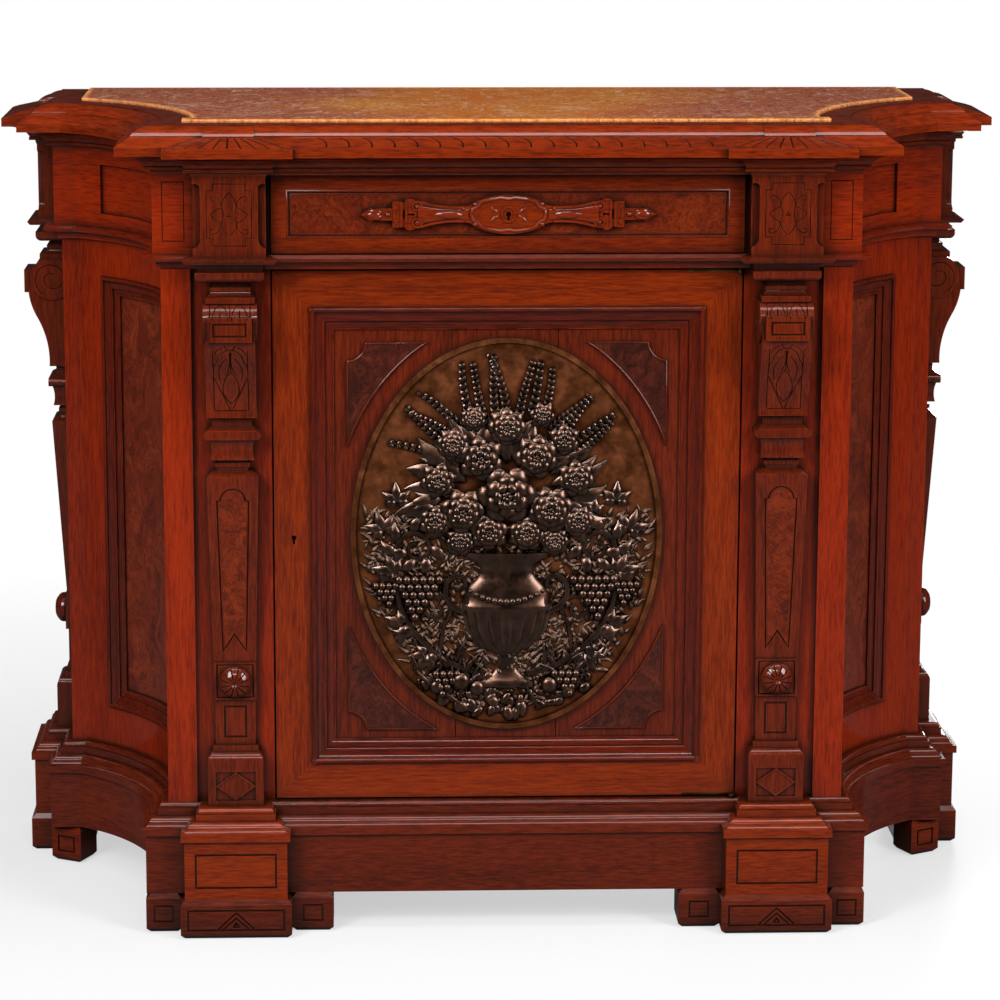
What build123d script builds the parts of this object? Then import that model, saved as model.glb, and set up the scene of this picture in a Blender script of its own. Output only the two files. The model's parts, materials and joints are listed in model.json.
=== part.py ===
from build123d import *
import math
import os

# A side cabinet with hollow front corners: one door, one drawer, four bracketed
# pilasters, a moulded plinth and cornice, and a marble top.
# X runs across, the front faces -Y, Z is up. The origin is on the floor, under
# the middle of the cabinet. Lengths are in millimetres.

# Case
CASE_HALF = 625.0
CASE_DEPTH = 472.0
BOARD = 24.0
BACK_T = 12.0
HOLLOW_R = 297.0
HOLLOW_SIDE_OFF = 126.0
HOLLOW_FRONT_OFF = 33.0
REAR_FLAT_SETBACK = 290.5
RETURN_DEPTH = 52.0
STEP_BACK = 29.0
CURVE_GAP = 0.3
OVERRUN = 40.0

# Heights of the storeys, from the floor up
FOOT_H = 55.0
PLINTH_H = 124.0
SHAFT_H = 546.0
BRACKET_H = 158.0
CAP_H = 42.0
ARCHITRAVE_H = 20.0
FRIEZE_H = 109.0
CORNICE_H = 52.0
RIM_H = 14.0
TOP_BOARD_T = 30.0
TOP_BOARD_SEAT = 18.0
MARBLE_T = 20.0
MARBLE_PROUD = 2.0

# How far each storey of a pilaster stands out of the case, and half its width
FOOT_OUT = 66.0
PLINTH_OUT = 64.5
SHAFT_OUT = 36.5
SHAFT_HALF = 38.0
ARCHITRAVE_OUT = 54.0
FRIEZE_OUT = 39.0
FRIEZE_BACK_OUT = 30.0
CORNICE_OUT = 85.0
SPREAD = 10.5
RETURN_LESS = 1.0
CORNICE_HALF = 86.0
FRIEZE_HALF = 48.5
FRIEZE_WAIST = 38.5
PILASTER_IN = 94.0

# Runs between the pilasters
FRIEZE_RUN_OUT = 10.0
CENTRE_ARCHITRAVE_DROP = 22.0
CENTRE_CORNICE_DROP = 10.0
OVOLO_OUT = 36.0
OVOLO_BREAK_OUT = 43.0
OVOLO_BREAK_HALF = 34.0
OVOLO_FILLET = 1.0
OVOLO_RISE = 1.4
RIM_OUT = 12.0
MARBLE_INSET = 29.0
SIDE_BAY = 158.0
STRIP_W = 40.0
STRIP_OUT = 8.0
STILE_W = 147.0

# Feet
FOOT_EDGE = 6.0
INNER_FOOT_W = 57.0
OUTER_FOOT_W = 49.0
SMALL_FOOT_DROP = 29.0
CANTED_FOOT_W = 49.0
CANTED_FOOT_D = 45.0
CANTED_FOOT_OUT = 38.0
CANTED_FOOT_TURN = 63.5
FOOT_PANEL_EDGE = 9.0

# Scroll bracket
BRACKET_HALF = 33.5
ROLL_HALF = 36.0
ROLL_R = 31.0
ROLL_OUT = 22.8
ROLL_RISE = 129.6
BAND_OUT = 63.5
BAND_HALF = 29.5
BAND_RISE = 109.0
BAND_H = 33.0

# Rosette
ROSETTE_R = 22.0
ROSETTE_H = 17.0
ROSETTE_RISE = 174.5

# Recessed and raised panels
GROOVE_W = 3.0
GROOVE_D = 2.5
DIE_PANEL_W = 113.0
DIE_PANEL_H = 50.0
DIE_PANEL_RISE = 41.0
FOOT_SQUARE_W = 29.0
FOOT_SQUARE_H = 25.0
SMALL_PANEL_W = 32.0
SMALL_PANEL_H = 46.0
SMALL_PANEL_RISE = 116.0
BAND_PANEL_W = 46.0
BAND_PANEL_H = 19.0
LOZENGE_PANEL_W = 55.0
LOZENGE_PANEL_H = 41.0
LOZENGE_RISE = 28.5
LOZENGE_EDGE = 1.0
LOZENGE_D = 3.0
FRIEZE_PANEL_H = 70.0
FRIEZE_PANEL_D = 5.0
FRIEZE_START_ANGLE = 7.0
FRIEZE_END_ANGLE = 50.0

# Hollow corner panel
PANEL_FOOT = 57.0
PANEL_HEAD = 52.0
PANEL_START_ANGLE = 5.5
PANEL_END_ANGLE = 52.0
CORNER_PANEL_T = 8.0
CORNER_PANEL_SET = 12.0
CORNER_MOULD_W = 27.0
CORNER_MOULD_OUT = 5.0

# Door
DOOR_GAP = 2.5
DOOR_LOW_GAP = 2.5
DOOR_HEAD_GAP = 4.0
DOOR_BAND = 50.0
DOOR_PANEL_T = 12.0
MOULD_W = 32.0
MOULD_PROUD = 6.0
BOARD_SEAM_X = 69.0
BOARD_GAP = 0.2
OVAL_GAP_X = 22.0
OVAL_GAP_Z = 12.75
OVAL_RAISED = 1.45
OVAL_RIM_W = 7.0
OVAL_RIM_T = 8.0
OVAL_SUNK = 5.0
OVAL_DISH = 4.0
SPANDREL_OFF = 25.5
SPANDREL_GAP_X = 17.5
SPANDREL_GAP_LOW = 12.5
SPANDREL_GAP_HIGH = 18.0
SPANDREL_TALL = 147.0
SPANDREL_NOTCH = 25.0
SPANDREL_T = 3.0
KEYHOLE_EDGE = 26.5
KEYHOLE_RAISED = 0.75
KEYHOLE_R = 3.5
KEYHOLE_SLOT_W = 3.0
KEYHOLE_SLOT_H = 9.0

# Hinges
LEAF_T = 3.0
LEAF_L = 70.0
LEAF_W = 14.0
HINGE_SHIM = 0.5
PIVOT_OFF = 5.0
PIVOT_IN = 3.0
EYE_R = 5.0
PIN_R = 2.0
PIN_PLAY = 0.1

# Locks
LOCK_W = 46.0
LOCK_H = 62.0
LOCK_T = 15.0
BOLT_L = 40.0
BOLT_H = 16.0
BOLT_T = 7.0
BOLT_PLAY = 0.4
BOLT_THROW = 8.0
BOLT_BACK = 1.5
LOCK_WALL = 2.5

# Drawer
DRAWER_GAP = 2.0
DRAWER_FRONT_T = 24.0
DRAWER_BAND = 20.0
DRAWER_FIELD_D = 4.0
DRAWER_SIDE_T = 12.0
DRAWER_BOTTOM_T = 8.0
DRAWER_SIDE_H = 84.0
DRAWER_SIDE_GAP = 8.0
DRAWER_REAR_GAP = 36.0
DRAWER_RISE = 6.0
PULL_HALF = 198.0
PULL_H = 53.0
PULL_T = 9.0
PULL_CARTOUCHE_HALF = 57.0

# Inside
RAIL_D = 40.0
RUNNER_W = 34.0
RUNNER_H = 20.0
GUIDE_W = 12.0
GUIDE_H = 24.0
GUIDE_GAP = 1.0
SLIDE_GAP = 0.3
BOTTOM_T = 18.0
SHELF_T = 18.0
SHELF_Z = 535.0
SHELF_SETBACK = 54.0
CLEAT_H = 18.0
CLEAT_D = 60.0
CLEAT_W = 90.0

# Bends of a profile's stretches: the rise of the arc as a share of its chord
ROUND_SHARE = 0.2
HOLLOW_SHARE = -0.2
FULL_ROUND_SHARE = 0.45
SOFT_ROUND_SHARE = 0.1
SOFT_HOLLOW_SHARE = -0.09

# Profiles, from the bottom up: height share, out share, bend share
PLINTH_SHARES = [
    (0, 0.93, 0),
    (0.677, 0.93, 0),
    (0.677, 1.0, 0),
    (0.766, 1.0, 0),
    (0.766, 0.95, 0),
    (0.8, 0.87, SOFT_HOLLOW_SHARE),
    (0.863, 0.72, ROUND_SHARE * 0.8),
    (0.863, 0.685, 0),
    (0.944, 0.685, 0),
    (0.944, 0.65, 0),
    (1.0, 0.575, ROUND_SHARE),
]
ARCHITRAVE_SHARES = [
    (0, 0.63, 0),
    (0.6, 0.66, 0),
    (0.6, 0.93, 0),
    (0.85, 1.0, 0),
    (1.0, 0.79, 0),
]
CORNICE_SHARES = [
    (0, 0.47, 0),
    (0.115, 0.48, 0),
    (0.115, 0.576, 0),
    (0.19, 0.576, 0),
    (0.2, 0.56, 0),
    (0.52, 0.88, HOLLOW_SHARE * 0.65),
    (0.54, 1.0, 0),
    (0.77, 1.0, 0),
]
# Shaft: height share, out share, half width share, bend share
SHAFT_SHARES = [
    (0, 0.767, 1.0, 0),
    (0.112, 0.767, 1.0, 0),
    (0.137, 0.5, 0.78, ROUND_SHARE),
    (0.137, 0.44, 0.82, 0),
    (0.152, 0.44, 0.82, 0),
    (0.152, 0.274, 0.724, 0),
    (0.271, 0.274, 0.724, 0),
    (0.271, 0.384, 0.763, 0),
    (0.368, 0.384, 0.763, 0),
    (0.368, 0.301, 0.763, 0),
    (0.85, 0.74, 0.921, 0),
    (0.862, 0.5, 0.6, 0),
    (0.862, 0.44, 0.553, 0),
    (0.872, 0.44, 0.553, 0),
    (0.872, 0.49, 0.618, 0),
    (0.883, 0.49, 0.618, 0),
    (0.883, 0.41, 0.526, 0),
    (0.892, 0.41, 0.526, 0),
    (0.892, 0.68, 0.78, 0),
    (0.945, 0.71, 0.8, HOLLOW_SHARE * 0.4),
    (0.945, 0.85, 0.87, 0),
    (0.967, 0.85, 0.87, FULL_ROUND_SHARE),
    (0.976, 0.6, 0.74, 0),
    (0.976, 0.55, 0.7, 0),
    (1.0, 0.55, 0.7, 0),
]
# Cap over the bracket: height share of the cap, out and half width shares of the abacus
ABACUS_HALF = 46.0
ABACUS_OUT = 44.0
CAP_SHARES = [
    (0, 0.91, 0.72, 0),
    (0.19, 0.91, 0.72, 0),
    (0.19, 0.8, 0.68, 0),
    (0.36, 0.62, 0.57, HOLLOW_SHARE * 0.9),
    (0.36, 0.68, 0.59, 0),
    (0.48, 0.68, 0.59, 0),
    (0.48, 0.57, 0.54, 0),
    (0.66, 0.57, 0.54, 0),
    (0.66, 0.8, 0.8, 0),
    (0.85, 1.0, 1.0, ROUND_SHARE * 0.9),
    (1.0, 1.0, 1.0, 0),
]
# Bracket's swept front: height share, out share of the band, bend share
BRACKET_SHARES = [
    (0, 0.457, 0),
    (0.456, 0.709, HOLLOW_SHARE * 0.35),
    (0.69, 0.9, ROUND_SHARE * 0.25),
    (0.82, 0.84, 0),
    (1.0, 0.5, 0),
]
# Frieze block's waist: height shares where it starts and ends to narrow, and widens again
WAIST_SHARES = (0.11, 0.24, 0.87, 0.9)
# Door and corner mouldings, from the outer edge in: share of width, share of rise, bend
MOULD_SHARES = [
    (0, 0, 0),
    (0, 0.86, 0),
    (0.2, 0.86, ROUND_SHARE * 1.6),
    (0.2, 0.72, 0),
    (0.5, 0.5, SOFT_HOLLOW_SHARE),
    (0.62, 0.42, SOFT_ROUND_SHARE),
    (0.62, 0.28, 0),
    (0.88, 0.16, SOFT_ROUND_SHARE),
    (1.0, 0.16, 0),
    (1.0, 0, 0),
]
# Rosette, a domed button: share of its radius, share of its height, bend
ROSETTE_SHARES = [
    (0.9, 0, 0),
    (1.0, 0.22, ROUND_SHARE),
    (0.8, 0.72, ROUND_SHARE * 0.7),
    (0.2, 1.0, ROUND_SHARE * 0.5),
    (0.1, 0.9, 0),
    (0, 0.88, 0),
]
# Right half of the carved pull: share of its half length, share of its half height
PULL_FINIAL_SHARES = [(0.88, 0.1), (0.93, 0.34), (1.0, 0), (0.93, -0.34), (0.88, -0.1)]
PULL_BASE_SHARES = (0.77, 0.9, 0.3)
PULL_SLAB_SHARES = (0.72, 0.785, 0.66)
PULL_SCROLL_SHARES = (0.665, 0.42, 0.38)
PULL_ARM_SHARES = [(0.1, 0.62), (0.36, 0.34), (0.64, 0.22), (0.64, -0.22), (0.36, -0.34), (0.1, -0.62)]

# Places worked out from the sizes above
BACK_Y = (CASE_DEPTH + CORNICE_OUT) / 2
FRONT_Y = BACK_Y - CASE_DEPTH
REAR_FLAT_Y = FRONT_Y + REAR_FLAT_SETBACK
RETURN_Y = FRONT_Y + RETURN_DEPTH
HOLLOW_X = -(CASE_HALF + HOLLOW_SIDE_OFF)
HOLLOW_Y = FRONT_Y + HOLLOW_FRONT_OFF
SIDE_PILASTER_Y = BACK_Y - FOOT_OUT - SPREAD
STRIP_OUT_X = CASE_HALF - SIDE_BAY
STRIP_IN_X = STRIP_OUT_X - STRIP_W
STILE_IN_X = STRIP_OUT_X - STILE_W
PILASTER_X = STRIP_OUT_X - PILASTER_IN
Z_PLINTH = FOOT_H
Z_SHAFT = Z_PLINTH + PLINTH_H
Z_BRACKET = Z_SHAFT + SHAFT_H
Z_CAP = Z_BRACKET + BRACKET_H
Z_ARCHITRAVE = Z_CAP + CAP_H
Z_FRIEZE = Z_ARCHITRAVE + ARCHITRAVE_H
Z_CORNICE = Z_FRIEZE + FRIEZE_H
Z_WASH = Z_CORNICE + CORNICE_H
Z_RIM = Z_WASH + RIM_H
Z_TOP_BOARD = Z_CORNICE + TOP_BOARD_SEAT
Z_MARBLE = Z_TOP_BOARD + TOP_BOARD_T
LEDGE = BOARD / 4
HOLLOW_FROM = math.degrees(math.asin((FRONT_Y - HOLLOW_Y) / HOLLOW_R))
HOLLOW_TO = math.degrees(math.asin((REAR_FLAT_Y + BOARD - HOLLOW_Y) / HOLLOW_R))
FLAT_IN_X = HOLLOW_X + math.sqrt(HOLLOW_R**2 - (REAR_FLAT_Y - HOLLOW_Y) ** 2) + BOARD
PANEL_LOW = Z_SHAFT + PANEL_FOOT
PANEL_HIGH = Z_ARCHITRAVE - PANEL_HEAD
DOOR_LOW = Z_SHAFT + DOOR_LOW_GAP
DOOR_HIGH = Z_ARCHITRAVE - DOOR_HEAD_GAP
DOOR_MIDDLE = (DOOR_LOW + DOOR_HIGH) / 2
DOOR_HALF = STILE_IN_X - DOOR_GAP
OPEN_HALF = DOOR_HALF - DOOR_BAND - MOULD_W
OPEN_LOW = DOOR_LOW + DOOR_BAND + MOULD_W
OPEN_HIGH = DOOR_HIGH - DOOR_BAND - MOULD_W
OVAL_X = OPEN_HALF - OVAL_GAP_X
OVAL_Z = (OPEN_HIGH - OPEN_LOW) / 2 - OVAL_GAP_Z
OVAL_RISE = DOOR_MIDDLE + OVAL_RAISED
SPANDREL_X = OPEN_HALF - SPANDREL_GAP_X
SPANDREL_LOW = OPEN_LOW + SPANDREL_GAP_LOW
SPANDREL_HIGH = OPEN_HIGH - SPANDREL_GAP_HIGH
KEYHOLE_X = DOOR_HALF - KEYHOLE_EDGE
KEYHOLE_Z = DOOR_MIDDLE + KEYHOLE_RAISED
DOOR_BACK_Y = FRONT_Y + BOARD
PANEL_FACE_Y = DOOR_BACK_Y - DOOR_PANEL_T
RAIL_LOW = DOOR_HIGH + DOOR_GAP
DRAWER_LOW = Z_FRIEZE + DRAWER_GAP / 2
DRAWER_TOP = Z_CORNICE - DRAWER_GAP
DRAWER_FACE_Y = FRONT_Y - FRIEZE_RUN_OUT
DRAWER_BACK_Y = DRAWER_FACE_Y + DRAWER_FRONT_T
DRAWER_BOX_LOW = DRAWER_LOW + DRAWER_RISE
BACK_IN_Y = BACK_Y - BACK_T
DRAWER_L = BACK_IN_Y - DRAWER_REAR_GAP - DRAWER_BACK_Y
PIVOT_X = STILE_IN_X - DOOR_GAP - PIVOT_IN
PIVOT_Y = FRONT_Y - PIVOT_OFF


def stretches(points):
    """Start, middle, end and bend of each stretch between points (out, height, bend)."""
    found = []
    for (out0, z0, _), (out1, z1, bend) in zip(points, points[1:]):
        if (out0, z0) == (out1, z1):
            continue
        middle = ((out0 + out1) / 2 + bend * (z1 - z0), (z0 + z1) / 2 - bend * (out1 - out0))
        found.append(((out0, z0), middle, (out1, z1), bend))
    return found


def closed_face(pieces, place):
    """A face from stretches, each point put in space by place."""
    edges = []
    for start, middle, end, bend in pieces:
        if bend:
            edges.append(ThreePointArc(place(start), place(middle), place(end)))
        else:
            edges.append(Line(place(start), place(end)))
    return Face(Wire(edges))


def profile_face(points, inner, place):
    """The face between a moulded outline and the plain line behind it."""
    back = [(out, z, 0) for out, z in inner]
    close = [(points[0][0], points[0][1], 0)]
    return closed_face(stretches(points + back + close), place)


def moulding(shares, low, height, out, drop=0.0):
    """A share table at its real size, set back by drop."""
    return [(out * o - drop, low + height * h, bend) for h, o, bend in shares]


def backing(points, depth):
    """The plain line behind a moulding, depth inside the wall plane."""
    return [(-depth, points[-1][1]), (-depth, points[0][1])]


def facing_front(points, inner, x_from, x_to, wall):
    """A moulding run that faces -Y, from x_from to x_to."""
    face = profile_face(points, inner, lambda p: Vector(x_from, wall - p[0], p[1]))
    return extrude(face, amount=x_to - x_from, dir=(1, 0, 0))


def facing_left(points, inner, y_from, y_to, wall):
    """A moulding run that faces -X, from y_from to y_to."""
    face = profile_face(points, inner, lambda p: Vector(wall - p[0], y_from, p[1]))
    return extrude(face, amount=y_to - y_from, dir=(0, 1, 0))


def round_hollow(points, inner, start, end):
    """A moulding run round the left hollow corner, between two angles."""
    ray = math.radians(start)

    def place(p):
        radius = HOLLOW_R - p[0]
        return Vector(HOLLOW_X + radius * math.cos(ray), HOLLOW_Y + radius * math.sin(ray), p[1])

    axis = Axis((HOLLOW_X, HOLLOW_Y, 0), (0, 0, 1))
    return revolve(profile_face(points, inner, place), axis=axis, revolution_arc=end - start)


def block(x0, x1, y0, y1, z0, z1):
    """A box between six planes."""
    size = (abs(x1 - x0), abs(y1 - y0), abs(z1 - z0))
    return Pos((x0 + x1) / 2, (y0 + y1) / 2, (z0 + z1) / 2) * Box(*size)


def mirrored(shape):
    """The same shape on the other side of the cabinet."""
    if isinstance(shape, list):
        return [mirror(solid, about=Plane.YZ) for solid in shape]
    return mirror(shape, about=Plane.YZ)


def keep_side(shape, origin, normal):
    """What lies on the normal's side of a plane."""
    return split(shape, bisect_by=Plane(origin=origin, z_dir=normal), keep=Keep.TOP)


def front_rows(rows):
    """The front's part of a block's rows; it bends only where it steps in or out."""
    found = []
    last = rows[0][1]
    for z, out, half, bend in rows:
        found.append((out, z, 0 if out == last else bend))
        last = out
    return found


def break_block(rows, back=0.0):
    """A block moulded on its front and both sides; rows of (height, out, half, bend)."""
    out_rows = front_rows(rows)
    half_rows = [(half, z, bend) for z, out, half, bend in rows]
    reach = max(half for z, out, half, bend in rows) + OVERRUN
    deep = max(out for z, out, half, bend in rows) + OVERRUN
    front = facing_front(out_rows, backing(out_rows, back), -reach, reach, 0)
    right = stretches(half_rows)
    left = []
    for start, middle, end, bend in reversed(right):
        left.append(((-end[0], end[1]), (-middle[0], middle[1]), (-start[0], start[1]), bend))
    top = ((half_rows[-1][0], half_rows[-1][1]), None, (-half_rows[-1][0], half_rows[-1][1]), 0)
    bottom = ((-half_rows[0][0], half_rows[0][1]), None, (half_rows[0][0], half_rows[0][1]), 0)
    face = closed_face(right + [top] + left + [bottom], lambda p: Vector(p[0], back, p[1]))
    return front & extrude(face, amount=back + deep, dir=(0, -1, 0))


def spread_rows(points, spread):
    """Rows of a block whose sides stand out like its front."""
    return [(z, out, out + spread, bend) for out, z, bend in points]


def groove(width, height, z, out):
    """A rectangular incised line on a face that stands out from the wall plane."""
    outer = Pos(0, -out, z) * Box(width, GROOVE_D + GROOVE_D, height)
    field_w = width - GROOVE_W - GROOVE_W
    field_h = height - GROOVE_W - GROOVE_W
    return outer - Pos(0, -out, z) * Box(field_w, OVERRUN, field_h)


def foot_block(half, out):
    """A foot with its edges cut off."""
    rows = [
        (0, out - FOOT_EDGE, half - FOOT_EDGE, 0),
        (FOOT_EDGE, out, half, 0),
        (FOOT_H - FOOT_EDGE, out, half, 0),
        (FOOT_H, out - FOOT_EDGE, half - FOOT_EDGE, 0),
    ]
    return break_block(rows, back=BOARD)


def small_foot(half, out):
    """A small foot with the square incised on its face."""
    return foot_block(half, out) - groove(FOOT_SQUARE_W, FOOT_SQUARE_H, FOOT_H / 2, out)


def main_foot():
    half = FOOT_OUT + SPREAD
    foot = foot_block(half, FOOT_OUT)
    wide = (half - FOOT_PANEL_EDGE) * 2
    return foot - groove(wide, FOOT_H - (FOOT_EDGE + FOOT_EDGE) * 2, FOOT_H / 2, FOOT_OUT)


def front_feet():
    """The main foot of a front pilaster and the small ones beside it."""
    half = FOOT_OUT + SPREAD
    out = FOOT_OUT - SMALL_FOOT_DROP
    inner = Pos(half + INNER_FOOT_W / 2, 0, 0) * small_foot(INNER_FOOT_W / 2, out)
    outer = Pos(-half - OUTER_FOOT_W / 2, 0, 0) * small_foot(OUTER_FOOT_W / 2, out)
    return [main_foot(), inner, outer]


def canted_foot():
    """The foot under the rear end of the left hollow run, turned to face it."""
    radius = HOLLOW_R - CANTED_FOOT_OUT
    foot = small_foot(CANTED_FOOT_W / 2, CANTED_FOOT_D - BOARD)
    foot = Pos(0, CANTED_FOOT_D - BOARD, 0) * foot
    foot = Rot(0, 0, CANTED_FOOT_TURN - 90) * Pos(0, radius, 0) * foot
    return Pos(HOLLOW_X, HOLLOW_Y, 0) * foot


def pedestal_body():
    return break_block(spread_rows(plinth_points(0), SPREAD))


def pedestal():
    face_out = PLINTH_OUT * PLINTH_SHARES[0][1]
    return pedestal_body() - groove(DIE_PANEL_W, DIE_PANEL_H, Z_PLINTH + DIE_PANEL_RISE, face_out)


def shaft():
    rows = []
    for h, out, half, bend in SHAFT_SHARES:
        rows.append((Z_SHAFT + SHAFT_H * h, SHAFT_OUT * out, SHAFT_HALF * half, bend))
    small_face = SHAFT_OUT * SHAFT_SHARES[5][1]
    low_face = SHAFT_OUT * SHAFT_SHARES[0][1]
    body = break_block(rows)
    body -= groove(SMALL_PANEL_W, SMALL_PANEL_H, Z_SHAFT + SMALL_PANEL_RISE, small_face)
    return body - lozenge_panel(Z_SHAFT + LOZENGE_RISE, low_face)


def lozenge_panel(z, out):
    """What is cut from a face to leave a lozenge standing in a sunk panel."""
    sunk = Pos(0, -out, z) * Box(LOZENGE_PANEL_W, LOZENGE_D + LOZENGE_D, LOZENGE_PANEL_H)
    half_w = LOZENGE_PANEL_W / 2 - LOZENGE_EDGE
    half_h = LOZENGE_PANEL_H / 2 - LOZENGE_EDGE
    corners = [(half_w, 0), (0, half_h), (-half_w, 0), (0, -half_h)]
    face = Face(Wire.make_polygon([(x, -out - OVERRUN, z + h) for x, h in corners], close=True))
    return sunk - extrude(face, amount=OVERRUN + OVERRUN, dir=(0, 1, 0))


def rosette():
    """A turned button with a dimple in its middle."""
    points = [(ROSETTE_R * r, ROSETTE_H * h, bend) for r, h, bend in ROSETTE_SHARES]
    close = [(0, 0, 0), (points[0][0], points[0][1], 0)]
    face = closed_face(stretches(points + close), lambda p: Vector(p[0], -p[1], 0))
    seat = SHAFT_OUT * SHAFT_SHARES[7][1]
    return Pos(0, -seat, Z_SHAFT + ROSETTE_RISE) * revolve(face, axis=Axis.Y)


def bracket():
    """The scroll: a swept body, the roll, the band in front of it, and the cap."""
    points = []
    for h, out, bend in BRACKET_SHARES:
        points.append((BAND_OUT * out, Z_BRACKET + BRACKET_H * h, bend))
    body = facing_front(points, backing(points, 0), -BRACKET_HALF, BRACKET_HALF, 0)
    centre = Location((0, -ROLL_OUT, Z_BRACKET + ROLL_RISE), (0, 90, 0))
    body += centre * Cylinder(ROLL_R, ROLL_HALF + ROLL_HALF)
    low = Z_BRACKET + BAND_RISE
    body += block(-BAND_HALF, BAND_HALF, -BAND_OUT, 0, low, low + BAND_H)
    body -= groove(BAND_PANEL_W, BAND_PANEL_H, low + BAND_H / 2, BAND_OUT)
    body -= block(-CASE_HALF, CASE_HALF, 0, CASE_DEPTH, 0, Z_CORNICE)
    body -= block(-CASE_HALF, CASE_HALF, -CASE_DEPTH, 0, Z_CAP, Z_CORNICE)
    rows = []
    for h, out, half, bend in CAP_SHARES:
        rows.append((Z_CAP + CAP_H * h, ABACUS_OUT * out, ABACUS_HALF * half, bend))
    return body + break_block(rows)


def frieze_block():
    """Architrave break and the waisted block over a pilaster."""
    rows = spread_rows(moulding(ARCHITRAVE_SHARES, Z_ARCHITRAVE, ARCHITRAVE_H, ARCHITRAVE_OUT), SPREAD - RETURN_LESS)
    base = break_block(rows)
    base += block(-FRIEZE_HALF, FRIEZE_HALF, -FRIEZE_BACK_OUT, 0, Z_FRIEZE, Z_CORNICE)
    low, waist_low, waist_high, high = [Z_FRIEZE + FRIEZE_H * share for share in WAIST_SHARES]
    front = [
        (Z_FRIEZE, FRIEZE_OUT, FRIEZE_HALF, 0),
        (low, FRIEZE_OUT, FRIEZE_HALF, 0),
        (waist_low, FRIEZE_OUT, FRIEZE_WAIST, HOLLOW_SHARE),
        (waist_high, FRIEZE_OUT, FRIEZE_WAIST, 0),
        (high, FRIEZE_OUT, FRIEZE_HALF, HOLLOW_SHARE),
        (Z_CORNICE, FRIEZE_OUT, FRIEZE_HALF, 0),
    ]
    return base + break_block(front)


def put_front(shape):
    """A pilaster piece on the left half of the front."""
    return Pos(-PILASTER_X, FRONT_Y, 0) * shape


def put_side(shape):
    """A pilaster piece on the left side, kept in front of the back plane."""
    placed = Pos(-CASE_HALF, SIDE_PILASTER_Y, 0) * Rot(0, 0, -90) * shape
    return placed - block(-CASE_DEPTH * 2, 0, BACK_Y, BACK_Y + CASE_DEPTH, -OVERRUN, Z_RIM + CASE_DEPTH)


def corner_block(points, inner, wall_x, wall_y, x_in, y_in):
    """A run that turns an outer corner: both faces moulded, hollow behind inner."""
    reach = max(p[0] for p in points) + OVERRUN
    front = facing_front(points, backing(points, y_in - wall_y), wall_x - reach, x_in, wall_y)
    side = facing_left(points, backing(points, x_in - wall_x), wall_y - reach, y_in, wall_x)
    low = (inner[-1][0], points[0][1] - OVERRUN, 0)
    high = (inner[0][0], points[-1][1] + OVERRUN, 0)
    line = [low] + [(out, z, 0) for out, z in reversed(inner)] + [high]
    hole = facing_front(line, backing(line, CASE_DEPTH), wall_x - reach, x_in + reach, wall_y)
    hole &= facing_left(line, backing(line, CASE_DEPTH), wall_y - reach, y_in + reach, wall_x)
    return (front & side) - hole


def half_block(points, inner):
    """The break at the front end of the left hollow run."""
    return corner_block(points, inner, -STRIP_OUT_X, FRONT_Y, -PILASTER_X, RETURN_Y)


def hollow_meets_flat(offset):
    """Where the hollow and the rear flat meet, offset out of the wall plane."""
    radius = HOLLOW_R - offset
    rise = REAR_FLAT_Y - offset - HOLLOW_Y
    return Vector(HOLLOW_X + math.sqrt(radius**2 - rise**2), REAR_FLAT_Y - offset, 0)


def hollow_run(points, inner):
    """A left side run in two pieces, mitred where the hollow meets the rear flat."""
    ring = round_hollow(points, inner, HOLLOW_FROM, HOLLOW_TO)
    ring = keep_side(ring, (0, RETURN_Y, 0), (0, 1, 0))
    origin = hollow_meets_flat(0)
    along = hollow_meets_flat(PLINTH_OUT) - origin
    normal = Vector(-along.Y, along.X, 0)
    corner = corner_block(points, inner, -CASE_HALF, REAR_FLAT_Y, FLAT_IN_X, BACK_Y)
    return [keep_side(ring, origin, normal), keep_side(corner, origin, -normal)]


def front_run(points, inner, x_from, x_to):
    return facing_front(points, inner, x_from, x_to, FRONT_Y)


def plinth_points(drop):
    return moulding(PLINTH_SHARES, Z_PLINTH, PLINTH_H, PLINTH_OUT, drop)


def plinth_side():
    points = plinth_points(STEP_BACK)
    inner = backing(points, BOARD)
    ring, corner = hollow_run(points, inner)
    half = half_block(points, inner) - put_front(pedestal_body())
    return [ring, corner - put_side(pedestal_body()), half]


def plinth_front():
    points = plinth_points(STEP_BACK)
    run = front_run(points, backing(points, BOARD), -PILASTER_X, PILASTER_X)
    left = put_front(pedestal_body())
    run = run - left - mirrored(left)
    return run - Pos(PIVOT_X, PIVOT_Y, Z_SHAFT - LEAF_T) * hinge_seat(LEAF_T + OVERRUN)


def front_stile():
    """Stile beside the door with the half-pilaster strip on its outer edge."""
    outline = [
        (STILE_IN_X, FRONT_Y),
        (STRIP_IN_X, FRONT_Y),
        (STRIP_IN_X, FRONT_Y - STRIP_OUT),
        (STRIP_OUT_X, FRONT_Y - STRIP_OUT),
        (STRIP_OUT_X, RETURN_Y),
        (STRIP_OUT_X - BOARD, RETURN_Y),
        (STRIP_OUT_X - BOARD, FRONT_Y + BOARD),
        (STILE_IN_X, FRONT_Y + BOARD),
    ]
    face = Face(Wire.make_polygon([(-x, y, Z_SHAFT) for x, y in outline], close=True))
    stile = extrude(face, amount=Z_TOP_BOARD - Z_SHAFT, dir=(0, 0, 1))
    # the strip stops under the architrave
    over = block(-STRIP_OUT_X, -STRIP_IN_X, FRONT_Y - STRIP_OUT, FRONT_Y, Z_ARCHITRAVE, Z_TOP_BOARD)
    return stile - over


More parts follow.
